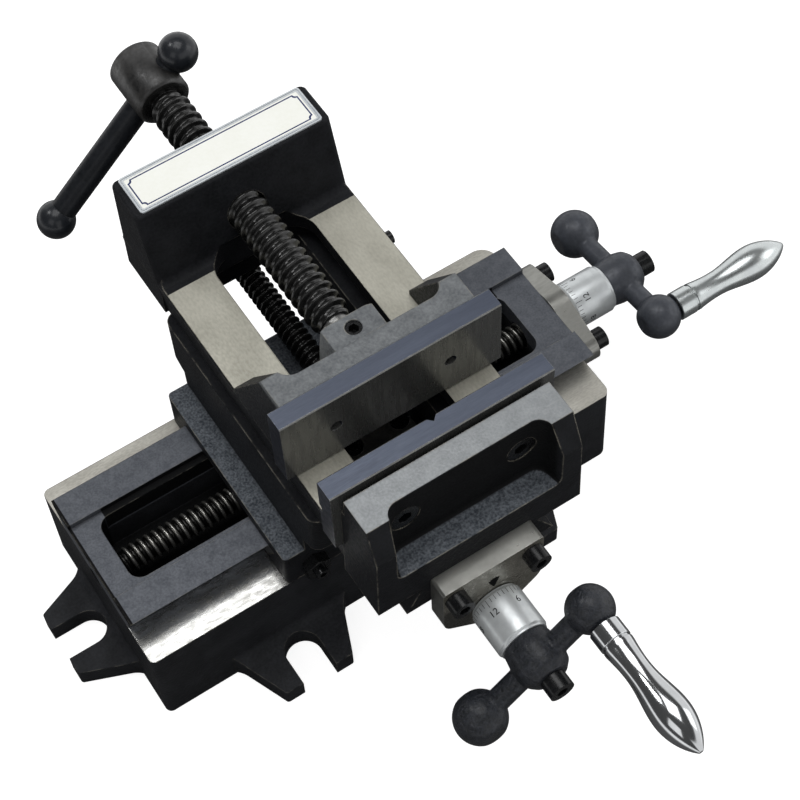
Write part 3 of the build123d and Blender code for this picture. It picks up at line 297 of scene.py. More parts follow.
@dataclass(frozen=True)
class Look:
    """What one kind of surface shows: two colours that blotch and grain blend, gloss and bump."""

    colour: Colour
    shade: Colour
    roughness: float
    spread: float
    metallic: float
    stretch: Vec = (1, 1, 1)
    scale: float = 60.0
    fineness: float = 9.0
    depth: float = 0.0001
    balance: float = 0.5

    def sockets(self, graph: Graph, groups: SharedGroups) -> tuple:
        """Lay this look into a material.

        Args:
            graph: The material's graph.
            groups: The shared groups.

        Returns:
            Outputs for colour, roughness, metallic and height.
        """
        node = graph.group(groups.pattern, {
            "Stretch": self.stretch, "Scale": self.scale, "Fineness": self.fineness})
        blend = graph.mix(self.balance, node.outputs["Blotch"], node.outputs["Grain"])
        rough = graph.plus(self.roughness, graph.times(graph.minus(node.outputs["Grain"], 0.5), self.spread))
        height = graph.times(node.outputs["Height"], self.depth)
        return graph.paint(blend, self.colour, self.shade), rough, self.metallic, height


class Side(Enum):
    """Way that the faces of a zone look."""

    ANY = (0, 0, 0)
    UP = (0, 0, 1)
    LEFT = (-1, 0, 0)
    RIGHT = (1, 0, 0)
    FRONT = (0, -1, 0)


@dataclass(frozen=True)
class Zone:
    """Part of a casting or plate that was machined or left rough, or that is painted lighter or darker as
    light or shade, as a box in millimetres.
    """

    look: Look
    low: Vec
    high: Vec
    side: Side = Side.ANY
    feather: float = 0.4


@dataclass(frozen=True)
class Finish:
    """Finish of one node: a base look, machined zones and zones of painted light or shade over it, rubbed
    edges, painted shade in corners and painted shade in thread roots.
    """

    name: str
    look: Look
    zones: tuple[Zone, ...] = ()
    edge: Colour = (0.5, 0.5, 0.5)
    edge_share: float = 0.5
    edge_metallic: float = 0.6
    edge_radius: float = 0.5
    edge_scale: float = 180.0
    # Share of the painted shade in corners and creases
    corner_shade_share: float = 0.6
    # How strongly thread roots are darkened as painted shade
    crest_share: float = 0.0
    specular: float = 0.5
    coat: float = 0.0
    coat_roughness: float = 0.2

    def material(self, groups: SharedGroups) -> bpy.types.Material:
        """Build the material.

        Args:
            groups: The shared groups.

        Returns:
            The new material.
        """
        material = bpy.data.materials.new(self.name)
        graph = emptied(material)
        colour, rough, metal, height = self.look.sockets(graph, groups)
        for zone in self.zones:
            mask = graph.group(groups.zone, {
                "Low": tuple(part * MM for part in zone.low), "High": tuple(part * MM for part in zone.high),
                "Feather": zone.feather * MM, "Facing": zone.side.value}).outputs[0]
            there = zone.look.sockets(graph, groups)
            colour = graph.paint(mask, colour, there[0])
            rough = graph.mix(mask, rough, there[1])
            metal = graph.mix(mask, metal, there[2])
            height = graph.mix(mask, height, there[3])
        wear = graph.group(groups.wear, {"Radius": self.edge_radius * MM, "Scale": self.edge_scale})
        rubbed = graph.times(wear.outputs["Edge"], self.edge_share)
        # Corners and creases are darkened as painted shade
        shaded_corners = graph.times(wear.outputs["Corner Shade"], self.corner_shade_share)
        colour = graph.paint(rubbed, graph.paint(shaded_corners, colour, CORNER_SHADE_COLOUR), self.edge)
        # Painted shade: thread roots darkened by how far each point lies below the crest
        if self.crest_share > 0:
            crest = graph.add("ShaderNodeAttribute", attribute_name=CREST).outputs["Fac"]
            sunk = graph.minus(1.0, graph.ramp(crest, 0.3, 0.95))
            colour = graph.paint(graph.times(sunk, self.crest_share), colour, THREAD_ROOT_SHADE)
        bump = graph.add("ShaderNodeBump", {"Strength": 1.0, "Distance": 1.0, "Height": height,
                                            "Normal": wear.outputs["Normal"]})
        shader = graph.add("ShaderNodeBsdfPrincipled", {
            "Base Color": colour, "Roughness": rough,
            "Metallic": graph.mix(rubbed, metal, self.edge_metallic), "Normal": bump.outputs[0],
            "Specular IOR Level": self.specular, "Coat Weight": self.coat,
            "Coat Roughness": self.coat_roughness})
        graph.add("ShaderNodeOutputMaterial", {"Surface": shader.outputs[0]})
        return material


# Looks of the bare and painted surfaces, and of painted light and shade
CAST_BLACK = Look(tint(22, 23, 25), tint(36, 37, 40), 0.5, 0.18, 0.0, scale=90, fineness=9, depth=0.0003)
CAST_CHARCOAL = Look(tint(31, 32, 34), tint(48, 49, 52), 0.5, 0.18, 0.0, scale=90, fineness=9, depth=0.0003)
# Lighter greys painted on upward faces of the castings, standing in for light from above; the speckle is the
# cast grain
TOP_LIT_GREY = Look(tint(150, 153, 155), tint(130, 133, 135), 0.4, 0.2, 0.35,
                 scale=190, fineness=5, depth=0.0001)
JAW_GREY = Look(tint(122, 125, 127), tint(90, 93, 96), 0.46, 0.2, 0.2, scale=170, fineness=5, depth=0.0003)
# Darker grey painted on the moving jaw's wing faces below their tops, as painted shade
WING_SHADE_DARK = Look(tint(40, 41, 43), tint(24, 25, 27), 0.5, 0.2, 0.0, scale=120, fineness=8, depth=0.0003)
TOP_LIT_SPECKLED = Look(tint(104, 109, 115), tint(52, 56, 62), 0.45, 0.2, 0.2,
                     scale=240, fineness=4, depth=0.0005,
                     balance=0.7)
# Near-black painted shade for recesses: the screw pocket, the far trough, a crease line and the fixed jaw's
# recess
RECESS_SHADE_BLACK = Look(tint(12, 12, 13), tint(19, 20, 21), 0.6, 0.2, 0.0, scale=120, fineness=8, depth=0.00025)
RAIL_STEEL = Look(tint(192, 190, 178), tint(158, 156, 145), 0.42, 0.14, 0.45, stretch=(2, 1, 2), scale=40,
                  fineness=12, depth=0.00001)
SLIDE_GREY = Look(tint(102, 105, 111), tint(78, 81, 87), 0.42, 0.16, 0.35,
                  scale=220, fineness=5, depth=0.0001,
                  balance=0.6)
# Brighter, more mirror-like steel for the left part of the near shoulder: a painted highlight on a surface
# that is beige further right
SHOULDER_HIGHLIGHT_STEEL = Look(tint(244, 244, 242), tint(160, 159, 154), 0.24, 0.12, 1.0, stretch=(1, 3, 3), scale=50,
                       fineness=4, depth=0.00003, balance=0.5)
SHOULDER_BEIGE = Look(tint(205, 203, 194), tint(166, 163, 155), 0.4, 0.12, 0.6, stretch=(1, 3, 3), scale=60,
                      fineness=8, depth=0.00001)
# Lighter grey painted on right-facing faces and on the right end of the base's front, standing in for light
# from the right
RIGHT_LIT_GREY = Look(tint(82, 85, 88), tint(60, 63, 66), 0.4, 0.12, 0.3, scale=40, fineness=7, depth=0.00001)
PLATE_TOP_BLUE = Look(tint(88, 95, 110), tint(72, 78, 92), 0.34, 0.12, 0.5, stretch=(1, 9, 9), scale=26,
                      fineness=9, depth=0.000005)
PLATE_END = Look(tint(40, 43, 52), tint(28, 30, 38), 0.4, 0.12, 0.2, scale=60, fineness=7, depth=0.00001)
PLATE_BRUSHED = Look(tint(124, 125, 122), tint(98, 98, 97), 0.26, 0.12, 0.65, stretch=(9, 9, 1), scale=7,
                     fineness=9, depth=0.000003)
BRACKET_SATIN = Look(tint(158, 158, 153), tint(134, 134, 130), 0.34, 0.14, 0.85, stretch=(1, 1, 8), scale=22,
                     fineness=9, depth=0.000006)
# Darker, blotchy front faces of the bracket plates: painted shade standing in for the dark that front faces
# mirror
BRACKET_FRONT_SHADE = Look(tint(158, 155, 144), tint(104, 101, 92), 0.3, 0.14, 0.6,
                    scale=90, fineness=6, depth=0.00002)
BRACKET_SHADE = Look(tint(26, 26, 23), tint(48, 47, 42), 0.3, 0.14, 0.3, scale=90, fineness=6, depth=0.00002)
DIAL_SATIN = Look(tint(218, 222, 223), tint(194, 198, 200), 0.34, 0.06, 0.5,
                  scale=30, fineness=8, depth=0.000001)
RIM_SILVER = Look(tint(224, 229, 232), tint(200, 206, 211), 0.3, 0.06, 0.3,
                  scale=60, fineness=8, depth=0.000001)
CHROME = Look(tint(204, 206, 208), tint(192, 194, 196), 0.13, 0.03, 1.0, scale=60, fineness=4, depth=0.000001)
CHROME_SOFT = Look(tint(214, 219, 219), tint(200, 205, 206), 0.28, 0.05, 1.0,
                   scale=60, fineness=4, depth=0.000001)
BLUE_IRON = Look(tint(18, 21, 25), tint(48, 51, 58), 0.4, 0.2, 0.2, scale=260, fineness=3, depth=0.0014,
                 balance=0.6)
BLUE_IRON_SMOOTH = Look(tint(72, 75, 82), tint(54, 57, 63), 0.42, 0.16, 0.2,
                        scale=120, fineness=5, depth=0.0001)
BAR_BLACK = Look(tint(22, 24, 27), tint(32, 34, 38), 0.4, 0.16, 0.0, scale=120, fineness=5, depth=0.0001)
BLACK_OXIDE = Look(tint(14, 15, 16), tint(24, 25, 27), 0.26, 0.12, 0.2, scale=220, fineness=5, depth=0.00001)
BALL_BLUE = Look(tint(34, 37, 42), tint(26, 29, 34), 0.4, 0.16, 0.2, scale=120, fineness=5, depth=0.0001)
HEAD_BLACK = Look(tint(19, 20, 21), tint(30, 28, 26), 0.42, 0.2, 0.1, scale=110, fineness=5, depth=0.0001)
THREAD_BLACK = Look(tint(34, 34, 33), tint(22, 22, 22), 0.22, 0.12, 0.3, scale=160, fineness=4, depth=0.00001)
THREAD_BRIGHT = Look(tint(186, 185, 180), tint(120, 119, 115), 0.26, 0.14, 0.9,
                     scale=60, fineness=6, depth=0.00001)
BARE_STEEL = Look(tint(150, 150, 148), tint(110, 110, 110), 0.35, 0.12, 0.9,
                  scale=90, fineness=7, depth=0.000006)
NUT_IRON = Look(tint(110, 108, 104), tint(80, 79, 77), 0.5, 0.16, 0.6, scale=140, fineness=7, depth=0.00006)

PAINTED_EDGE = tint(168, 163, 150)
CRANK_EDGE = tint(120, 124, 132)
BAR_EDGE = tint(130, 134, 142)
SATIN_EDGE = tint(235, 235, 235)
CHROME_EDGE = tint(205, 205, 205)


FINISHES: dict[str, Finish] = {
    "base_iron": Finish("base_charcoal", CAST_CHARCOAL, (
        # Painted light: the right end of the front face fades lighter
        Zone(RIGHT_LIT_GREY, (84, -50, 4), (117.5, -44, 49), Side.FRONT, 9.0),
        Zone(SLIDE_GREY, (-117, -36, 48.9), (117, 36, 62.6)),
        # Painted shade: the screw pocket and the far trough are near black
        Zone(RECESS_SHADE_BLACK, (-104.4, -16.9, 20), (100.4, 16.9, 58.8)),
        Zone(RECESS_SHADE_BLACK, (-101, 15.5, 50), (100, 22.4, 62.1)),
        # Painted shade: a thin dark line along the left end's top edge
        Zone(RECESS_SHADE_BLACK, (-117, -36, 58), (-115.2, 36, 63), feather=0.2),
        # Painted light: the base's right end face is lighter
        Zone(RIGHT_LIT_GREY, (114, -47, -1), (117.5, 47, 62.6), Side.RIGHT),
        # Painted highlight: the left part of the near shoulder is brighter than the rest
        Zone(SHOULDER_HIGHLIGHT_STEEL, (-116.5, -48.6, 48.2), (-40, -27, 49.0), Side.UP, 0.2),
        Zone(SHOULDER_BEIGE, (-40, -48.6, 48.2), (116.5, -27, 49.0), Side.UP, 0.2),
        Zone(SHOULDER_BEIGE, (-116.5, 27, 48.2), (116.5, 48.6, 49.0), Side.UP, 0.2)),
        edge=PAINTED_EDGE, edge_share=0.35, edge_radius=0.7, specular=0.08),
    "saddle_iron": Finish("saddle_charcoal", CAST_BLACK, (
        # Painted light: the saddle's flange top is lighter
        Zone(TOP_LIT_SPECKLED, (-60, -60, 68), (80, 60, 70.2), Side.UP),),
        edge=PAINTED_EDGE, edge_share=0.8, edge_radius=0.9, specular=0.08),
    "body_iron": Finish("body_charcoal", CAST_BLACK, (
        # Painted light: the fixed jaw's top is lighter, with a painted sheen
        Zone(TOP_LIT_GREY, (-60, -110, 163), (70, -70, 166), Side.UP, 0.2),
        # Painted shade: the walls of the fixed jaw's front recess are near black
        Zone(RECESS_SHADE_BLACK, (-29.5, -110, 128.2), (44.5, -92, 163.6)),
        # Painted light: the recess floor is lighter than its walls
        Zone(TOP_LIT_SPECKLED, (-29.5, -110, 126), (44.5, -92, 128.6), Side.UP, 0.8),
        Zone(RAIL_STEEL, (-39.2, -72, 126.5), (54.2, 55.5, 127.4), Side.UP, 0.15),
        # Painted light: the nut block's right side is lighter than its front
        Zone(RIGHT_LIT_GREY, (50, 40, 100), (70, 110, 170), Side.RIGHT)),
        edge=PAINTED_EDGE, edge_share=0.8, edge_radius=0.9, specular=0.08),
    "jaw_iron": Finish("moving_jaw_grey", JAW_GREY, (
        # Painted shade: the wing faces below the top are darker
        Zone(WING_SHADE_DARK, (-50, -36, 120), (-23, 30, 162.9), feather=2.0),
        Zone(WING_SHADE_DARK, (38, -36, 120), (65, 30, 162.9), feather=2.0)),
        edge=PAINTED_EDGE, edge_share=0.7, edge_radius=0.9, specular=0.12),
    "jaw_plate_steel": Finish("ground_jaw_plate", PLATE_BRUSHED, (
        Zone(PLATE_TOP_BLUE, (-60, -90, 165.9), (80, -20, 167), Side.UP, 0.1),
        Zone(PLATE_END, (-60, -90, 120), (80, -20, 166.2), Side.LEFT, 0.1),
        Zone(PLATE_END, (-60, -90, 120), (80, -20, 166.2), Side.RIGHT, 0.1)),
        edge=tint(190, 192, 198), edge_share=0.6, edge_radius=0.3, edge_metallic=0.9, corner_shade_share=0.3),
    "bracket_steel": Finish("bracket_satin", BRACKET_SATIN, (
        # Painted shade on the front faces, and a painted shadow darker still on the lower left of the front
        # face
        Zone(BRACKET_FRONT_SHADE, (-30, -120, 60), (45, -100, 120), Side.FRONT),
        Zone(BRACKET_SHADE, (-34, -120, 60), (0, -100, 99), Side.FRONT, 5.0)),
        corner_shade_share=0.3,
        edge=tint(214, 212, 204), edge_share=0.5, edge_radius=0.4, edge_metallic=0.9),
    "dial_steel": Finish("dial_satin", DIAL_SATIN, edge=SATIN_EDGE, edge_share=0.3, edge_radius=0.25,
                         edge_metallic=0.9, corner_shade_share=0.3),
    "crank_iron": Finish("crank_blue_black", BLUE_IRON, edge=CRANK_EDGE, edge_share=0.2, edge_radius=0.4,
                         specular=0.35, coat=0.3, coat_roughness=0.3),
    "handle_steel": Finish("handle_chrome", CHROME, edge=CHROME_EDGE, edge_share=0.1, edge_radius=0.2,
                           edge_metallic=1.0, corner_shade_share=0.5),
    "pin_steel": Finish("pin_steel", BARE_STEEL, edge_radius=0.2),
    "black_steel": Finish("black_oxide", BLACK_OXIDE, edge=tint(70, 72, 76), edge_share=0.25,
                          edge_radius=0.25, specular=0.4),
    "screw_steel": Finish("lead_screw_steel", THREAD_BRIGHT, edge=tint(225, 222, 212), edge_share=0.4,
                          edge_radius=0.2, edge_metallic=0.95, corner_shade_share=0.8, crest_share=0.95),
    "clamp_steel": Finish("clamp_screw_black", THREAD_BLACK, (
        Zone(BARE_STEEL, (0, -31, 130), (16, -3.4, 150)),
        Zone(HEAD_BLACK, (-10, 133.5, 120), (30, 165, 160))),
        edge=tint(120, 116, 110), edge_share=0.15, edge_radius=0.2, edge_metallic=0.9, corner_shade_share=0.8,
        crest_share=0.85, specular=0.7),
    "bar_steel": Finish("tommy_ball_blue", BALL_BLUE, edge=BAR_EDGE, edge_share=0.2,
                        edge_radius=0.3, specular=0.3, coat=0.3, coat_roughness=0.16),
    "nut_iron": Finish("feed_nut_iron", NUT_IRON),
    "gib_steel": Finish("gib_steel", BARE_STEEL, edge_radius=0.2),
    "name_plate_metal": Finish("plate_rim_silver", RIM_SILVER, edge=SATIN_EDGE, edge_share=0.3,
                               edge_radius=0.15, corner_shade_share=0.3),
}

# Nodes whose finish differs from others of their slot
NODE_FINISHES: dict[str, Finish] = {
    "x_crank": Finish("crank_blue_grey", BLUE_IRON_SMOOTH, edge=CRANK_EDGE, edge_share=0.2,
                      edge_radius=0.4, specular=0.35, coat=0.1, coat_roughness=0.35),
    "x_handle": Finish("handle_satin", CHROME_SOFT, edge=CHROME_EDGE, edge_share=0.1, edge_radius=0.2,
                       edge_metallic=1.0, corner_shade_share=0.5),
    # Painted shade: the upper lead screw takes the black thread look for the shade it lies in under the body
    "y_lead_screw": Finish("lead_screw_shaded", THREAD_BLACK, edge=tint(120, 118, 112), edge_share=0.3,
                           edge_radius=0.2, edge_metallic=0.9, corner_shade_share=0.8, crest_share=0.9),
    "tommy_bar": Finish("bar_blue_black", BAR_BLACK, edge=BAR_EDGE, edge_share=0.2,
                        edge_radius=0.3, specular=0.15, coat=0.1, coat_roughness=0.2),
}


class Paint(Enum):
    """Plain finishes of the small added pieces."""

    CREAM = ("plate_cream", tint(245, 246, 240), tint(240, 241, 233), 0.35, 0.5)
    LINE_BLUE = ("plate_line_blue", tint(34, 50, 104), tint(26, 40, 84), 0.4, 0.5)
    MARK_BLACK = ("engraved_black", tint(8, 9, 10), tint(14, 15, 16), 0.7, 0.05)

    def material(self, groups: SharedGroups) -> bpy.types.Material:
        """Build this paint's material."""
        name, colour, shade, rough, specular = self.value
        look = Look(colour, shade, rough, 0.08, 0.0, scale=90, fineness=8, depth=0.000004)
        return Finish(name, look, edge=colour, edge_share=0.0, edge_metallic=0.0, edge_radius=0.1,
                      corner_shade_share=0.2, specular=specular).material(groups)


class Workshop:
    """Materials and finished pieces of the whole vise."""

    def __init__(self) -> None:
        """Build the shared groups and every material."""
        self.groups = SharedGroups()
        self.finishes = {slot: finish.material(self.groups) for slot, finish in FINISHES.items()}
        self.paints = {paint: paint.material(self.groups) for paint in Paint}
        self.own = {node: finish.material(self.groups) for node, finish in NODE_FINISHES.items()}
        self.slots = {part["node"]: part["material_slot"] for part in frame["record"]["subparts"]}
        bodies = frame["record"]["behaviour"]["bodies"]
        self.body_of = {node: body for body, nodes in bodies.items() for node in nodes}

    def finish_of(self, node: str) -> bpy.types.Material:
        """Material of a node: its own one, or its slot's."""
        return self.own.get(node) or self.finishes[self.slots[node]]

    def dress_nodes(self) -> None:
        """Give each CAD node the finish of its slot."""
        for name, node in frame["nodes"].items():
            paint_over(node.data, self.finish_of(name))
        log.info("dressed %d nodes", len(frame["nodes"]))

    def stand_for(self, piece: bpy.types.Object, node: str) -> None:
        """Let a piece stand for a CAD node, with its finish and body.

        Args:
            piece: The finished piece.
            node: Name of the CAD node.
        """
        if not piece.data.materials:
            piece.data.materials.append(self.finish_of(node))
        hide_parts(node)
        self.mount(piece, self.body_of[node], self.slots[node])

    def mount(self, piece: bpy.types.Object, body: str, slot: str) -> None:
        """Let an added piece ride on a body.

        Args:
            piece: The finished piece.
            body: Name of the CAD body.
            slot: Name of the material slot; not used.
        """
        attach(piece, body)
        log.info("%s: %d faces on %s", piece.name, len(piece.data.polygons), body)


def paint_over(mesh: bpy.types.Mesh, material: bpy.types.Material) -> None:
    """Give every face of a mesh one material."""
    mesh.materials.clear()
    mesh.materials.append(material)
    for face in mesh.polygons:
        face.material_index = 0


def new_piece(name: str, mesh: bpy.types.Mesh) -> bpy.types.Object:
    """Put a mesh into the scene as a piece."""
    piece = bpy.data.objects.new(name, mesh)
    bpy.context.scene.collection.objects.link(piece)
    return piece


def mesh_from(shape: bmesh.types.BMesh, name: str) -> bpy.types.Mesh:
    """Write a working shape into a new mesh and free it."""
    mesh = bpy.data.meshes.new(name)
    shape.to_mesh(mesh)
    shape.free()
    return mesh


def evaluated(holder: bpy.types.Object) -> bpy.types.Mesh:
    """Plain mesh of an object with its modifiers run."""
    return bpy.data.meshes.new_from_object(holder.evaluated_get(bpy.context.evaluated_depsgraph_get()))


def finish_mesh(mesh: bpy.types.Mesh, smooth_degrees: float = 32.0,
                merge: float = 0.000002) -> bpy.types.Mesh:
    """Merge doubles, turn every face outwards and smooth what bends gently.

    Args:
        mesh: Mesh to finish.
        smooth_degrees: Bend above which an edge stays sharp.
        merge: Distance in metres under which points are one.

    Returns:
        The same mesh.
    """
    shape = bmesh.new()
    shape.from_mesh(mesh)
    bmesh.ops.remove_doubles(shape, verts=shape.verts, dist=merge)
    bmesh.ops.dissolve_degenerate(shape, edges=shape.edges, dist=merge)
    bmesh.ops.recalc_face_normals(shape, faces=shape.faces)
    for face in shape.faces:
        face.smooth = True
    shape.to_mesh(mesh)
    shape.free()
    mesh.set_sharp_from_angle(angle=math.radians(smooth_degrees))
    return mesh


def rounded(profile: list[Point], reach: float, steps: int = 4) -> list[Point]:
    """Round the inner corners of a profile.

    Args:
        profile: Points in millimetres.
        reach: How far each rounding runs along the lines.
        steps: Points of each rounding.

    Returns:
        The rounded profile.
    """
    points = [profile[0]]
    for before, here, after in zip(profile, profile[1:], profile[2:]):
        ends = []
        for other in (before, after):
            length = math.dist(here, other)
            share = min(reach, length * 0.45) / length
            ends.append(tuple(h + (o - h) * share for h, o in zip(here, other)))
        for step in range(steps + 1):
            t = step / steps
            points.append(tuple((1 - t) ** 2 * a + 2 * t * (1 - t) * b + t * t * c
                                for a, b, c in zip(ends[0], here, ends[1])))
    return points + [profile[-1]]


def lathe(profile: list[Point], segments: int = 72) -> bpy.types.Mesh:
    """Turn a profile about local Z.

    Args:
        profile: Pairs of radius and place along the axis, in millimetres.
        segments: Steps around.

    Returns:
        A closed mesh in metres.
    """
    shape = bmesh.new()
    rings = []
    for radius, along in profile:
        if radius == 0:
            rings.append([shape.verts.new((0, 0, along * MM))] * segments)
            continue
        turns = [math.tau * step / segments for step in range(segments)]
        rings.append([shape.verts.new((radius * MM * math.cos(turn), radius * MM * math.sin(turn),
                                       along * MM)) for turn in turns])
    for low, high in zip(rings, rings[1:]):
        for step in range(segments):
            after = (step + 1) % segments
            corners = dict.fromkeys((low[step], low[after], high[after], high[step]))
            if len(corners) > 2:
                shape.faces.new(list(corners))
    return mesh_from(shape, "turned")


def joined(name: str, meshes: list[bpy.types.Mesh]) -> bpy.types.Mesh:
    """Join meshes into one, keeping each one's material numbers.

    Args:
        name: Name of the new mesh.
        meshes: Meshes to join.

    Returns:
        The joined mesh.
    """
    shape = bmesh.new()
    for mesh in meshes:
        shape.from_mesh(mesh)
    return mesh_from(shape, name)


def end_of_node(node: str, axis: int, limit: float, keep_above: bool) -> bpy.types.Mesh:
    """Copy one end of a CAD node, cut square and closed.

    Args:
        node: Name of the CAD node.
        axis: 0 for X or 1 for Y.
        limit: Place of the cut in millimetres.
        keep_above: Whether the end beyond the cut is kept.

    Returns:
        The end's mesh.
    """
    shape = bmesh.new()
    shape.from_mesh(frame["nodes"][node].data)
    bmesh.ops.remove_doubles(shape, verts=shape.verts, dist=0.000001)
    normal = Vector([float(step == axis) for step in range(3)])
    cut = bmesh.ops.bisect_plane(shape, geom=shape.verts[:] + shape.edges[:] + shape.faces[:], dist=0.0000001,
                                 plane_co=normal * limit * MM, plane_no=normal,
                                 clear_inner=keep_above, clear_outer=not keep_above)
    rim = [item for item in cut["geom_cut"] if isinstance(item, bmesh.types.BMEdge)]
    bmesh.ops.triangle_fill(shape, edges=rim, use_beauty=True)
    return mesh_from(shape, node + "_end")


class RuledTree(Graph):
    """A Geometry Nodes tree with named inputs, run once to give a plain mesh."""

    def __init__(self, name: str, inputs: dict[str, str]) -> None:
        """Start the tree.

        Args:
            name: Name of the tree.
            inputs: Socket types by input name.
        """
        super().__init__(bpy.data.node_groups.new(name, "GeometryNodeTree"))
        for label, kind in inputs.items():
            self.tree.interface.new_socket(label, in_out="INPUT", socket_type="NodeSocket" + kind)
        self.tree.interface.new_socket("Geometry", in_out="OUTPUT", socket_type="NodeSocketGeometry")
        self.given = self.tree.nodes.new("NodeGroupInput").outputs

    def close(self, geometry: Socket) -> None:
        """End the tree with Realize Instances and Set Material."""
        real = self.add("GeometryNodeRealizeInstances", {0: geometry}).outputs[0]
        painted = self.add("GeometryNodeSetMaterial", {"Geometry": real, "Material": self.given["Finish"]})
        self.add("NodeGroupOutput", {"Geometry": painted.outputs[0]})

    def mesh(self, values: dict[str, object]) -> bpy.types.Mesh:
        """Run the tree.

        Args:
            values: Value for each input, by name.

        Returns:
            A plain mesh of the result.
        """
        holder = bpy.data.objects.new("tree_run", bpy.data.meshes.new("tree_run"))
        bpy.context.scene.collection.objects.link(holder)
        modifier = holder.modifiers.new("tree", "NODES")
        modifier.node_group = self.tree
        for item in self.tree.interface.items_tree:
            if item.in_out == "INPUT":
                modifier[item.identifier] = values[item.name]
        mesh = evaluated(holder)
        holder.modifiers.remove(modifier)
        bpy.data.objects.remove(holder)
        return mesh


class ThreadTree(RuledTree):
    """Helical thread along local Z, with rounded crests and run-outs at both ends."""

    root_share = 0.16
    crest_share = 0.9

    def __init__(self) -> None:
        """Build the tree."""
        super().__init__("helical_thread", {
            "Length": "Float", "Crest": "Float", "Root": "Float", "Lead": "Float", "Around": "Int",
            "Rows": "Int", "Finish": "Material"})
        given = self.given
        columns = self.plus(given["Around"], 1)
        grid = self.add("GeometryNodeMeshGrid", {"Vertices X": columns, "Vertices Y": given["Rows"]})
        at = self.add("ShaderNodeSeparateXYZ", {0: self.add("GeometryNodeInputPosition").outputs[0]}).outputs
        turn = self.plus(at[0], 0.5)
        step = self.maths("DIVIDE", 1.0, self.minus(given["Rows"], 1))
        free = self.minus(1.0, self.times(step, 2.0))
        share = self.maths("DIVIDE", self.minus(self.plus(at[1], 0.5), step), free, clamp=True)
        along = self.times(share, given["Length"])
        phase = self.maths("FRACT", self.minus(self.maths("DIVIDE", along, given["Lead"]), turn))
        ridge = self.times(self.maths("ABSOLUTE", self.minus(phase, 0.5)), 2.0)
        rest = self.minus(given["Length"], along)
        run_out = self.maths("DIVIDE", self.maths("MINIMUM", along, rest), given["Lead"], clamp=True)
        height = self.times(self.ramp(ridge, self.root_share, self.crest_share), run_out)
        rise = self.times(height, self.minus(given["Crest"], given["Root"]))
        edge = self.minus(0.5, self.times(step, 0.5))
        wall = self.maths("LESS_THAN", self.maths("ABSOLUTE", at[1]), edge)
        radius = self.times(self.plus(given["Root"], rise), wall)
        angle = self.times(turn, math.tau)
        place = self.add("ShaderNodeCombineXYZ", {
            0: self.times(radius, self.maths("COSINE", angle)),
            1: self.times(radius, self.maths("SINE", angle)), 2: along})
        moved = self.add("GeometryNodeSetPosition", {
            "Geometry": grid.outputs[0], "Position": place.outputs[0]}).outputs[0]
        whole = self.add("GeometryNodeMergeByDistance", {"Geometry": moved, "Distance": 0.000004})
        self.close(whole.outputs[0])


class TickTree(RuledTree):
    """Ring of engraved marks round local Z, each sixth one longer."""

    def __init__(self) -> None:
        """Build the tree."""
        super().__init__("dial_ticks", {
            "Count": "Int", "Radius": "Float", "Place": "Float", "Length": "Float", "Width": "Float",
            "Depth": "Float", "Finish": "Material"})
        given = self.given
        ring = self.add("GeometryNodeMeshCircle", {"Vertices": given["Count"], "Radius": given["Radius"]})
        number = self.add("GeometryNodeInputIndex").outputs[0]
        turn = self.times(self.maths("DIVIDE", number, given["Count"]), math.tau)
        sixth = self.maths("LESS_THAN", self.maths("MODULO", number, 6.0), 0.5)
        length = self.times(given["Length"], self.plus(1.0, self.times(sixth, 0.6)))
        height = self.plus(given["Place"], self.maths("DIVIDE", length, 2.0))
        lift = self.add("ShaderNodeCombineXYZ", {2: height}).outputs[0]
        raised = self.add("GeometryNodeSetPosition", {"Geometry": ring.outputs[0], "Offset": lift})
        mark = self.add("GeometryNodeMeshCube", {0: self.add("ShaderNodeCombineXYZ", {
            0: given["Depth"], 1: given["Width"], 2: 1.0}).outputs[0]})
        size = self.add("ShaderNodeCombineXYZ", {0: 1.0, 1: 1.0, 2: length}).outputs[0]
        spin = self.add("ShaderNodeCombineXYZ", {2: turn}).outputs[0]
        marks = self.add("GeometryNodeInstanceOnPoints", {
            "Points": raised.outputs[0], "Instance": mark.outputs[0], "Rotation": spin, "Scale": size})
        self.close(marks.outputs[0])


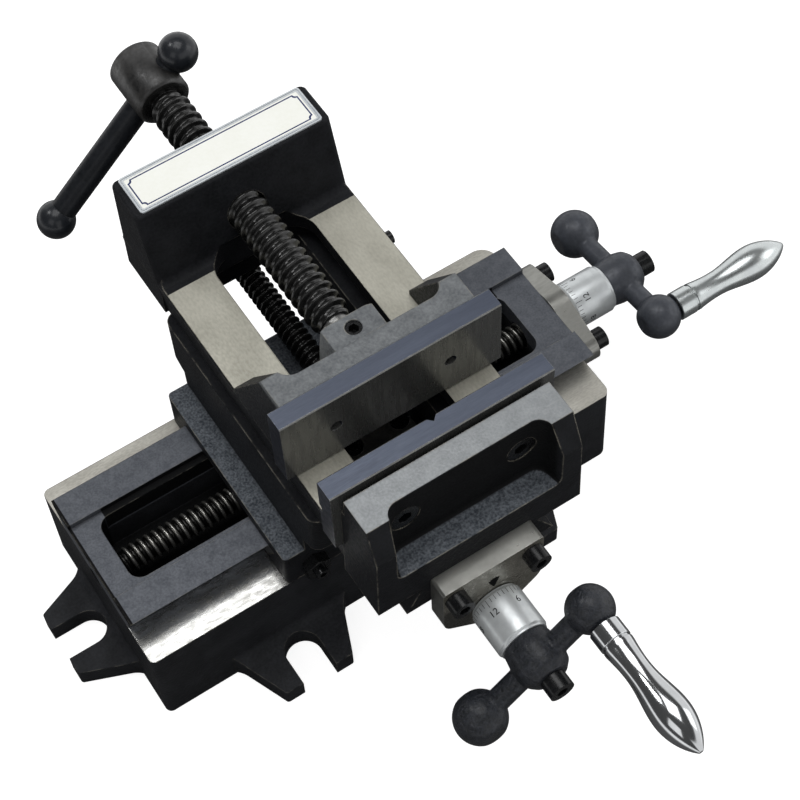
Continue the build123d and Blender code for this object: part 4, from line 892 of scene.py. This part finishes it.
@dataclass
class ThreadedScrew:
    """A lead or clamp screw: the CAD node's two ends with a helical thread between, sizes in millimetres."""

    node: str
    axis: Axis
    origin: Vec
    start: float
    end: float
    crest: float
    root: float
    lead: float
    around: int = 40
    rows_per_turn: int = 12
    bite: float = 0.3
    # Crest value given to the plain ends, which keeps the painted root shade faint there
    plain_share: float = 0.8

    def build(self, shop: Workshop, tree: ThreadTree) -> None:
        """Build the screw and let it stand for its node.

        Args:
            shop: The workshop with the finishes.
            tree: The thread tree.
        """
        length = self.end - self.start
        finish = shop.finish_of(self.node)
        thread = tree.mesh({
            "Length": (length + 2 * self.bite) * MM, "Crest": self.crest / 2 * MM, "Root": self.root / 2 * MM,
            "Lead": self.lead * MM, "Around": self.around,
            "Rows": int(length / self.lead * self.rows_per_turn) + 3, "Finish": finish})
        start = Vector(self.origin) + self.axis.way * (self.start - self.bite)
        thread.transform(self.axis.matrix(tuple(start)))
        number = 0 if self.axis is Axis.X else 1
        ends = [end_of_node(self.node, number, place, keep_above)
                for place, keep_above in ((self.start, False), (self.end, True))]
        mesh = joined(self.node + "_cut", ends + [thread])
        paint_over(mesh, finish)
        self.mark_crests(finish_mesh(mesh))
        shop.stand_for(new_piece(self.node + "_threaded", mesh), self.node)

    def mark_crests(self, mesh: bpy.types.Mesh) -> None:
        """Store how near each point of the thread is to the crest, for the painted shade in the thread roots.

        Args:
            mesh: The whole screw's mesh.
        """
        layer = mesh.attributes.new(CREST, "FLOAT", "POINT")
        origin = Vector(self.origin) * MM
        root = self.root / 2 * MM
        depth = self.crest / 2 * MM - root
        for vertex in mesh.vertices:
            along, reach = self.axis.split(vertex.co - origin)
            inside = self.start * MM < along < self.end * MM
            share = min(max((reach - root) / depth, 0.0), 1.0)
            layer.data[vertex.index].value = share if inside else self.plain_share


@dataclass
class FeedDial:
    """Graduated dial of one slide, with marks by the bracket plate and numbers further out."""

    node: str
    body: str
    axis: Axis
    origin: Vec
    diameter: float = 22.8
    length: float = 21.5
    bore: float = 9.04
    tick_count: int = 36
    tick_place: float = 2.0
    tick_length: float = 2.2
    tick_width: float = 0.2
    number_size: float = 4.2
    number_place: float = 9.6
    proud: float = 0.03
    foot_step: float = 0.9
    end_step: float = 0.7

    def build(self, shop: Workshop, ticks: TickTree) -> None:
        """Build the dial, its marks and its numbers.

        Args:
            shop: The workshop with the finishes.
            ticks: The tick tree.
        """
        radius = self.diameter / 2
        bore = self.bore / 2
        foot = radius - self.foot_step
        end = radius - self.end_step
        turned = rounded([(bore, 0), (foot, 0), (foot, 0.8), (radius, 1.7), (radius, self.length - 1.6),
                          (end, self.length - 0.9), (end, self.length), (bore, self.length)], 0.25, 3)
        mesh = lathe(turned + [turned[0]], 96)
        mesh.transform(self.axis.matrix(self.origin))
        shop.stand_for(new_piece(self.node + "_turned", finish_mesh(mesh)), self.node)
        black = shop.paints[Paint.MARK_BLACK]
        marks = ticks.mesh({
            "Count": self.tick_count, "Radius": radius * MM, "Place": self.tick_place * MM,
            "Length": self.tick_length * MM, "Width": self.tick_width * MM, "Depth": 2 * self.proud * MM,
            "Finish": black})
        words = joined(self.node + "_marks", [marks] + [self.number(step) for step in range(6)])
        paint_over(words, black)
        words.transform(self.axis.matrix(self.origin))
        shop.mount(new_piece(self.node + "_marks", finish_mesh(words)), self.body, shop.slots[self.node])

    def number(self, step: int) -> bpy.types.Mesh:
        """One number, bent round the dial.

        Args:
            step: Which sixth of the dial it stands at.

        Returns:
            The number's mesh.
        """
        curve = bpy.data.curves.new("number", "FONT")
        curve.body = str(6 * step)
        curve.size = self.number_size * MM
        curve.extrude = self.proud * MM
        curve.align_x = "CENTER"
        holder = bpy.data.objects.new("number", curve)
        mesh = bpy.data.meshes.new_from_object(holder)
        bpy.data.objects.remove(holder)
        radius = self.diameter / 2 * MM
        middle = math.tau * step / 6
        for vertex in mesh.vertices:
            turn = middle - vertex.co.x / radius
            reach = radius + vertex.co.z
            along = self.number_place * MM - vertex.co.y
            vertex.co = (reach * math.cos(turn), reach * math.sin(turn), along)
        return mesh


@dataclass
class TurnedHandle:
    """Handle turned finely from its CAD node's outline, with its ferrule, groove and bore."""

    node: str
    axis: Axis
    length: float = 61.0
    ferrule: float = 6.8
    ferrule_length: float = 8.0
    groove: float = 6.2
    groove_end: float = 9.2
    bore: float = 3.05
    room: float = 4.05
    room_start: float = 30.75
    bore_end: float = 33.85
    stations: int = 72
    segments: int = 112

    def build(self, shop: Workshop) -> None:
        """Sample the CAD node's outline, turn it and let it stand for the node.

        Args:
            shop: The workshop with the finishes.
        """
        low, high = (Vector(corner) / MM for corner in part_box(self.node))
        origin = (low + high) / 2 - self.axis.way * self.length / 2
        points = [self.axis.split(vertex.co / MM - origin)
                  for vertex in frame["nodes"][self.node].data.vertices]
        wide = self.room + 0.1
        outer = sorted(point for point in points if point[0] > self.groove_end and point[1] > wide)
        outer += sorted(point for point in points if point[0] > self.bore_end and point[1] <= wide)
        belly = []
        rest = self.length - self.groove_end
        for step in range(1, self.stations):
            place = self.groove_end + rest * math.sin(math.pi / 2 * step / self.stations)
            after = next(index for index, point in enumerate(outer) if point[0] >= place)
            first, second = outer[max(after - 1, 0)], outer[after]
            share = (place - first[0]) / max(second[0] - first[0], 0.0001)
            belly.append((first[1] + (second[1] - first[1]) * share, place))
        profile = [(0, self.bore_end), (self.room, self.bore_end), (self.room, self.room_start),
                   (self.bore, self.room_start), (self.bore, 0), (self.ferrule - 0.3, 0), (self.ferrule, 0.3),
                   (self.ferrule, self.ferrule_length - 0.2), (self.ferrule - 0.2, self.ferrule_length),
                   (self.groove, self.ferrule_length), (self.groove, self.groove_end),
                   (self.ferrule - 0.15, self.groove_end)]
        mesh = lathe(profile + belly + [(outer[-1][1], self.length), (0, self.length)], self.segments)
        mesh.transform(self.axis.matrix(tuple(origin)))
        shop.stand_for(new_piece(self.node + "_turned", finish_mesh(mesh)), self.node)


@dataclass
class CastCrank:
    """Crank casting with soft fillets between its hub, arms and balls."""

    node: str
    voxel: float = 0.55
    passes: int = 6

    def build(self, shop: Workshop) -> None:
        """Remesh the node's shape, soften its inner corners and let it stand for the node.

        Args:
            shop: The workshop with the finishes.
        """
        copy = new_piece(self.node + "_raw", finish_mesh(frame["nodes"][self.node].data.copy()))
        remesh = copy.modifiers.new("remesh", "REMESH")
        remesh.mode = "VOXEL"
        remesh.voxel_size = self.voxel * MM
        soften = copy.modifiers.new("soften", "SMOOTH")
        soften.factor = 0.5
        soften.iterations = self.passes
        mesh = evaluated(copy)
        bpy.data.objects.remove(copy)
        mesh.materials.clear()
        shop.stand_for(new_piece(self.node + "_cast", finish_mesh(mesh, 50)), self.node)


@dataclass
class NamePlate:
    """Blank plate on the nut block: silver rims, a cream field and a thin blue line with notched corners."""

    node: str = "name_plate"
    rim: float = 0.7
    gap: float = 0.35
    line_inset: float = 2.5
    line_width: float = 0.6
    notch: float = 1.6
    corner: float = 1.5
    sunk: float = 0.35

    def outline(self, size: Vec, inset: float, corner: float, notched: bool) -> list[Point]:
        """Points of a rounded or notched rectangle.

        Args:
            size: Width and depth in millimetres.
            inset: Distance from the plate's edge.
            corner: Radius of its corners.
            notched: Whether the corners curve inwards.

        Returns:
            The points, counter-clockwise.
        """
        points = []
        for quarter, (sx, sy) in enumerate(((1, 1), (-1, 1), (-1, -1), (1, -1))):
            x, y = sx * (size[0] / 2 - inset), sy * (size[1] / 2 - inset)
            for step in range(7):
                turn = math.pi / 2 * (quarter + step / 6)
                if notched:
                    turn = math.pi / 2 * (quarter + 3) - math.pi / 2 * step / 6
                    points.append((x + corner * math.cos(turn), y + corner * math.sin(turn)))
                else:
                    points.append((x - sx * corner + corner * math.cos(turn),
                                   y - sy * corner + corner * math.sin(turn)))
        return points

    @staticmethod
    def band(outer: list, inner: list | None, low: float, high: float, number: int) -> bpy.types.Mesh:
        """Flat band between two outlines, or a slab inside one.

        Args:
            outer: Outer outline.
            inner: Inner outline with as many points, or None for a slab.
            low: Height of its underside in millimetres.
            high: Height of its top.
            number: Material number of its faces.

        Returns:
            The closed mesh.
        """
        shape = bmesh.new()
        loops = [[shape.verts.new((x * MM, y * MM, z * MM)) for x, y in line]
                 for line in ([outer, inner] if inner else [outer]) for z in (low, high)]
        count = len(outer)
        pairs = ((0, 1), (1, 3), (3, 2), (2, 0)) if inner else ((0, 1),)
        for first, second in pairs:
            for step in range(count):
                after = (step + 1) % count
                shape.faces.new((loops[first][step], loops[first][after], loops[second][after],
                                 loops[second][step]))
        if not inner:
            shape.faces.new(list(reversed(loops[0])))
            shape.faces.new(loops[1])
        for face in shape.faces:
            face.material_index = number
        return mesh_from(shape, "band")

    def build(self, shop: Workshop) -> None:
        """Build the plate in its node's place.

        Args:
            shop: The workshop with the finishes.
        """
        low, high = (Vector(corner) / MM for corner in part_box(self.node))
        size = high - low
        top = size.z
        field = self.rim * 2 + self.gap
        rounded_line = [self.outline(size, inset, max(self.corner - inset / 2, 0.5), False)
                        for inset in (0, self.rim, self.rim + self.gap, field)]
        lines = [self.outline(size, self.line_inset + extra, self.notch, True)
                 for extra in (0, self.line_width)]
        foot = top - self.sunk - 0.01
        mesh = joined(self.node + "_plate", [
            self.band(rounded_line[0], None, 0, top - self.sunk, 0),
            self.band(rounded_line[0], rounded_line[1], foot, top, 0),
            self.band(rounded_line[2], rounded_line[3], foot, top - 0.08, 0),
            self.band(rounded_line[3], None, foot, top - 0.2, 1),
            self.band(lines[0], lines[1], top - 0.25, top - 0.17, 2)])
        middle = (low + high) / 2
        mesh.transform(Matrix.Translation(Vector((middle.x, middle.y, low.z)) * MM))
        for finish in (shop.finish_of(self.node), shop.paints[Paint.CREAM], shop.paints[Paint.LINE_BLUE]):
            mesh.materials.append(finish)
        shop.stand_for(new_piece(self.node + "_bordered", finish_mesh(mesh)), self.node)


@dataclass
class IndexMark:
    """Black arrow on the upper slide's bracket plate, pointing down at the dial."""

    x: float = 7.5
    face: float = -115.6
    tip: float = 94.4
    head: float = 6.4
    half_width: float = 2.7
    stem: float = 0.8
    stem_half: float = 1.6
    thickness: float = 0.12

    def build(self, shop: Workshop) -> None:
        """Build the arrow on the vise body.

        Args:
            shop: The workshop with the finishes.
        """
        rise = self.tip + self.head
        top = rise + self.stem
        outline = [(0, self.tip), (self.half_width, rise), (self.stem_half, rise), (self.stem_half, top),
                   (-self.stem_half, top), (-self.stem_half, rise), (-self.half_width, rise)]
        shape = bmesh.new()
        rows = [[shape.verts.new(Vector((self.x + x, self.face - depth, z)) * MM) for x, z in outline]
                for depth in (-self.thickness, self.thickness)]
        for row in rows:
            shape.faces.new(row)
        for step in range(len(outline)):
            after = (step + 1) % len(outline)
            shape.faces.new((rows[0][step], rows[0][after], rows[1][after], rows[1][step]))
        mesh = mesh_from(shape, "index_mark")
        mesh.materials.append(shop.paints[Paint.MARK_BLACK])
        shop.mount(new_piece("y_index_mark", finish_mesh(mesh, 20)), "vise_body", "bracket_steel")


@dataclass
class Studio:
    """White studio: the photograph's camera, soft lamps, a pale floor and a dark ceiling for mirrors."""

    place: Vec = (-191.78, -396.737, 809.475)
    right: Vec = (0.837695, -0.545175, -0.03242)
    up: Vec = (0.481377, 0.70902, 0.515331)
    back: Vec = (-0.25796, -0.447297, 0.856378)
    lens: float = 90.46
    lamps: tuple = field(default_factory=lambda: (
        ("key_lamp", (0.1, 0.1, 1.5), (0, 0, 0.1), 0.9, 8.0),
        ("strip_lamp", (-0.55, 0.75, 1.4), (0, 0, 0.1), 0.3, 3.0),
        ("fill_lamp", (-1.0, -0.5, 0.9), (0, 0, 0.1), 0.7, 1.6),
        ("right_lamp", (1.1, -0.4, 0.7), (0.1, 0, 0.08), 0.6, 1.6)))
    floor_greys: Point = (0.42, 0.46)
    floor_glow: float = 0.84
    dark_reflection_grey: float = 0.1
    sheet_rim: Point = (0.3, 0.55)
    soft_rise: Point = (0.0, 0.9)
    soft_strengths: Point = (0.1, 0.6)
    ceiling: float = 0.08
    ceiling_rise: Point = (0.55, 0.68)
    left_side: Point = (0.25, 0.4)
    horizon: Point = (-0.05, 0.05)

    def build(self) -> None:
        """Build the camera, the lamps, the floor and the world."""
        self.camera()
        for name, place, aim, size, power in self.lamps:
            self.lamp(name, place, aim, size, power)
        self.floor()
        self.world()
        bpy.context.scene.view_settings.view_transform = "Standard"

    def camera(self) -> None:
        """Set the camera where the photograph's was."""
        lens = bpy.data.cameras.new("camera")
        lens.lens = self.lens
        lens.sensor_width = 36.0
        lens.clip_start = 0.01
        lens.clip_end = 20.0
        camera = bpy.data.objects.new("camera", lens)
        turn = Matrix((self.right, self.up, self.back)).transposed().to_4x4()
        camera.matrix_world = Matrix.Translation(Vector(self.place) * MM) @ turn
        bpy.context.scene.collection.objects.link(camera)
        bpy.context.scene.camera = camera

    @staticmethod
    def lamp(name: str, place: Vec, aim: Vec, size: float, power: float) -> None:
        """Add a soft square lamp.

        Args:
            name: Name of the lamp.
            place: Where it stands, in metres.
            aim: Where it points.
            size: Side of the square in metres.
            power: Power in watts.
        """
        light = bpy.data.lights.new(name, "AREA")
        light.size = size
        light.energy = power
        lamp = bpy.data.objects.new(name, light)
        lamp.location = place
        lamp.rotation_euler = (Vector(place) - Vector(aim)).to_track_quat("Z", "Y").to_euler()
        bpy.context.scene.collection.objects.link(lamp)

    def floor(self) -> None:
        """Add the pale floor, white to the camera, with a dark sheet that only mirrors show, a painted dark
        reflection.
        """
        shape = bmesh.new()
        bmesh.ops.create_grid(shape, x_segments=8, y_segments=8, size=3.0)
        mesh = mesh_from(shape, "floor")
        material = bpy.data.materials.new("floor_white")
        graph = emptied(material)
        paper = graph.noise(graph.place(), 40.0, 3.0)
        rough = graph.plus(0.75, graph.times(paper, 0.1))
        colour = graph.paint(paper, *((grey,) * 3 for grey in self.floor_greys))
        path = graph.add("ShaderNodeLightPath").outputs
        # Near the vise the floor shows glossy rays dark grey and no glow: a painted dark reflection
        away = graph.ramp(graph.vector("LENGTH", graph.place()).outputs["Value"], *self.sheet_rim)
        sheet = graph.times(path["Is Glossy Ray"], graph.minus(1.0, away))
        colour = graph.paint(sheet, colour, (self.dark_reflection_grey,) * 3)
        shader = graph.add("ShaderNodeBsdfPrincipled", {"Base Color": colour, "Roughness": rough})
        seen = graph.plus(path["Is Camera Ray"], graph.times(path["Is Glossy Ray"], away))
        strength = graph.times(seen, self.floor_glow)
        glow = graph.add("ShaderNodeEmission", {"Color": (1, 1, 1), "Strength": strength})
        whole = graph.add("ShaderNodeAddShader", {0: shader.outputs[0], 1: glow.outputs[0]})
        graph.add("ShaderNodeOutputMaterial", {"Surface": whole.outputs[0]})
        mesh.materials.append(material)
        new_piece("floor", mesh)

    def world(self) -> None:
        """Make the world white to the camera, soft to the object and dark overhead to mirrors."""
        world = bpy.data.worlds.new("studio")
        graph = emptied(world)
        path = graph.add("ShaderNodeLightPath").outputs
        seen = graph.maths("ADD", path["Is Camera Ray"], path["Is Transmission Ray"], clamp=True)
        sky = graph.add("ShaderNodeTexCoord").outputs["Generated"]
        way = graph.add("ShaderNodeSeparateXYZ", {0: sky}).outputs
        rise = way[2]
        side = graph.times(way[0], -1.0)
        soft = graph.mix(graph.ramp(rise, *self.soft_rise), *self.soft_strengths)
        lower = graph.minus(1.0, graph.ramp(rise, *self.ceiling_rise))
        left = graph.times(graph.ramp(side, *self.left_side), graph.ramp(rise, *self.horizon))
        mirrored = graph.mix(graph.times(lower, graph.minus(1.0, left)), self.ceiling, 1.0)
        strength = graph.mix(seen, graph.mix(path["Is Glossy Ray"], soft, mirrored), 1.0)
        glow = graph.add("ShaderNodeBackground", {"Color": (1, 1, 1), "Strength": strength})
        graph.add("ShaderNodeOutputWorld", {"Surface": glow.outputs[0]})
        bpy.context.scene.world = world


def main() -> None:
    """Dress the frame, build each added piece and set the studio."""
    logging.basicConfig(level=logging.INFO, format="%(name)s %(message)s")
    shop = Workshop()
    shop.dress_nodes()
    threads, ticks = ThreadTree(), TickTree()
    for screw in (
            ThreadedScrew("clamp_screw", Axis.Y, (7.5, 0, 140.5), -3, 133.4, 18, 14, 5, 56, 18),
            ThreadedScrew("x_lead_screw", Axis.X, (0, 0, 47), -104.2, 112.4, 12, 9.2, 3.6),
            ThreadedScrew("y_lead_screw", Axis.Y, (7.5, 0, 82), -102.6, 89.6, 12, 9.2, 3.6)):
        screw.build(shop, threads)
    for dial in (FeedDial("x_dial", "x_screw", Axis.X, (125.8, 0, 47)),
                 FeedDial("y_dial", "y_screw", Axis.MINUS_Y, (7.5, -115.9, 82))):
        dial.build(shop, ticks)
    for crank in (CastCrank("x_crank"), CastCrank("y_crank")):
        crank.build(shop)
    for handle in (TurnedHandle("x_handle", Axis.X), TurnedHandle("y_handle", Axis.MINUS_Y)):
        handle.build(shop)
    NamePlate().build(shop)
    IndexMark().build(shop)
    Studio().build()


if __name__ == "__main__":
    main()
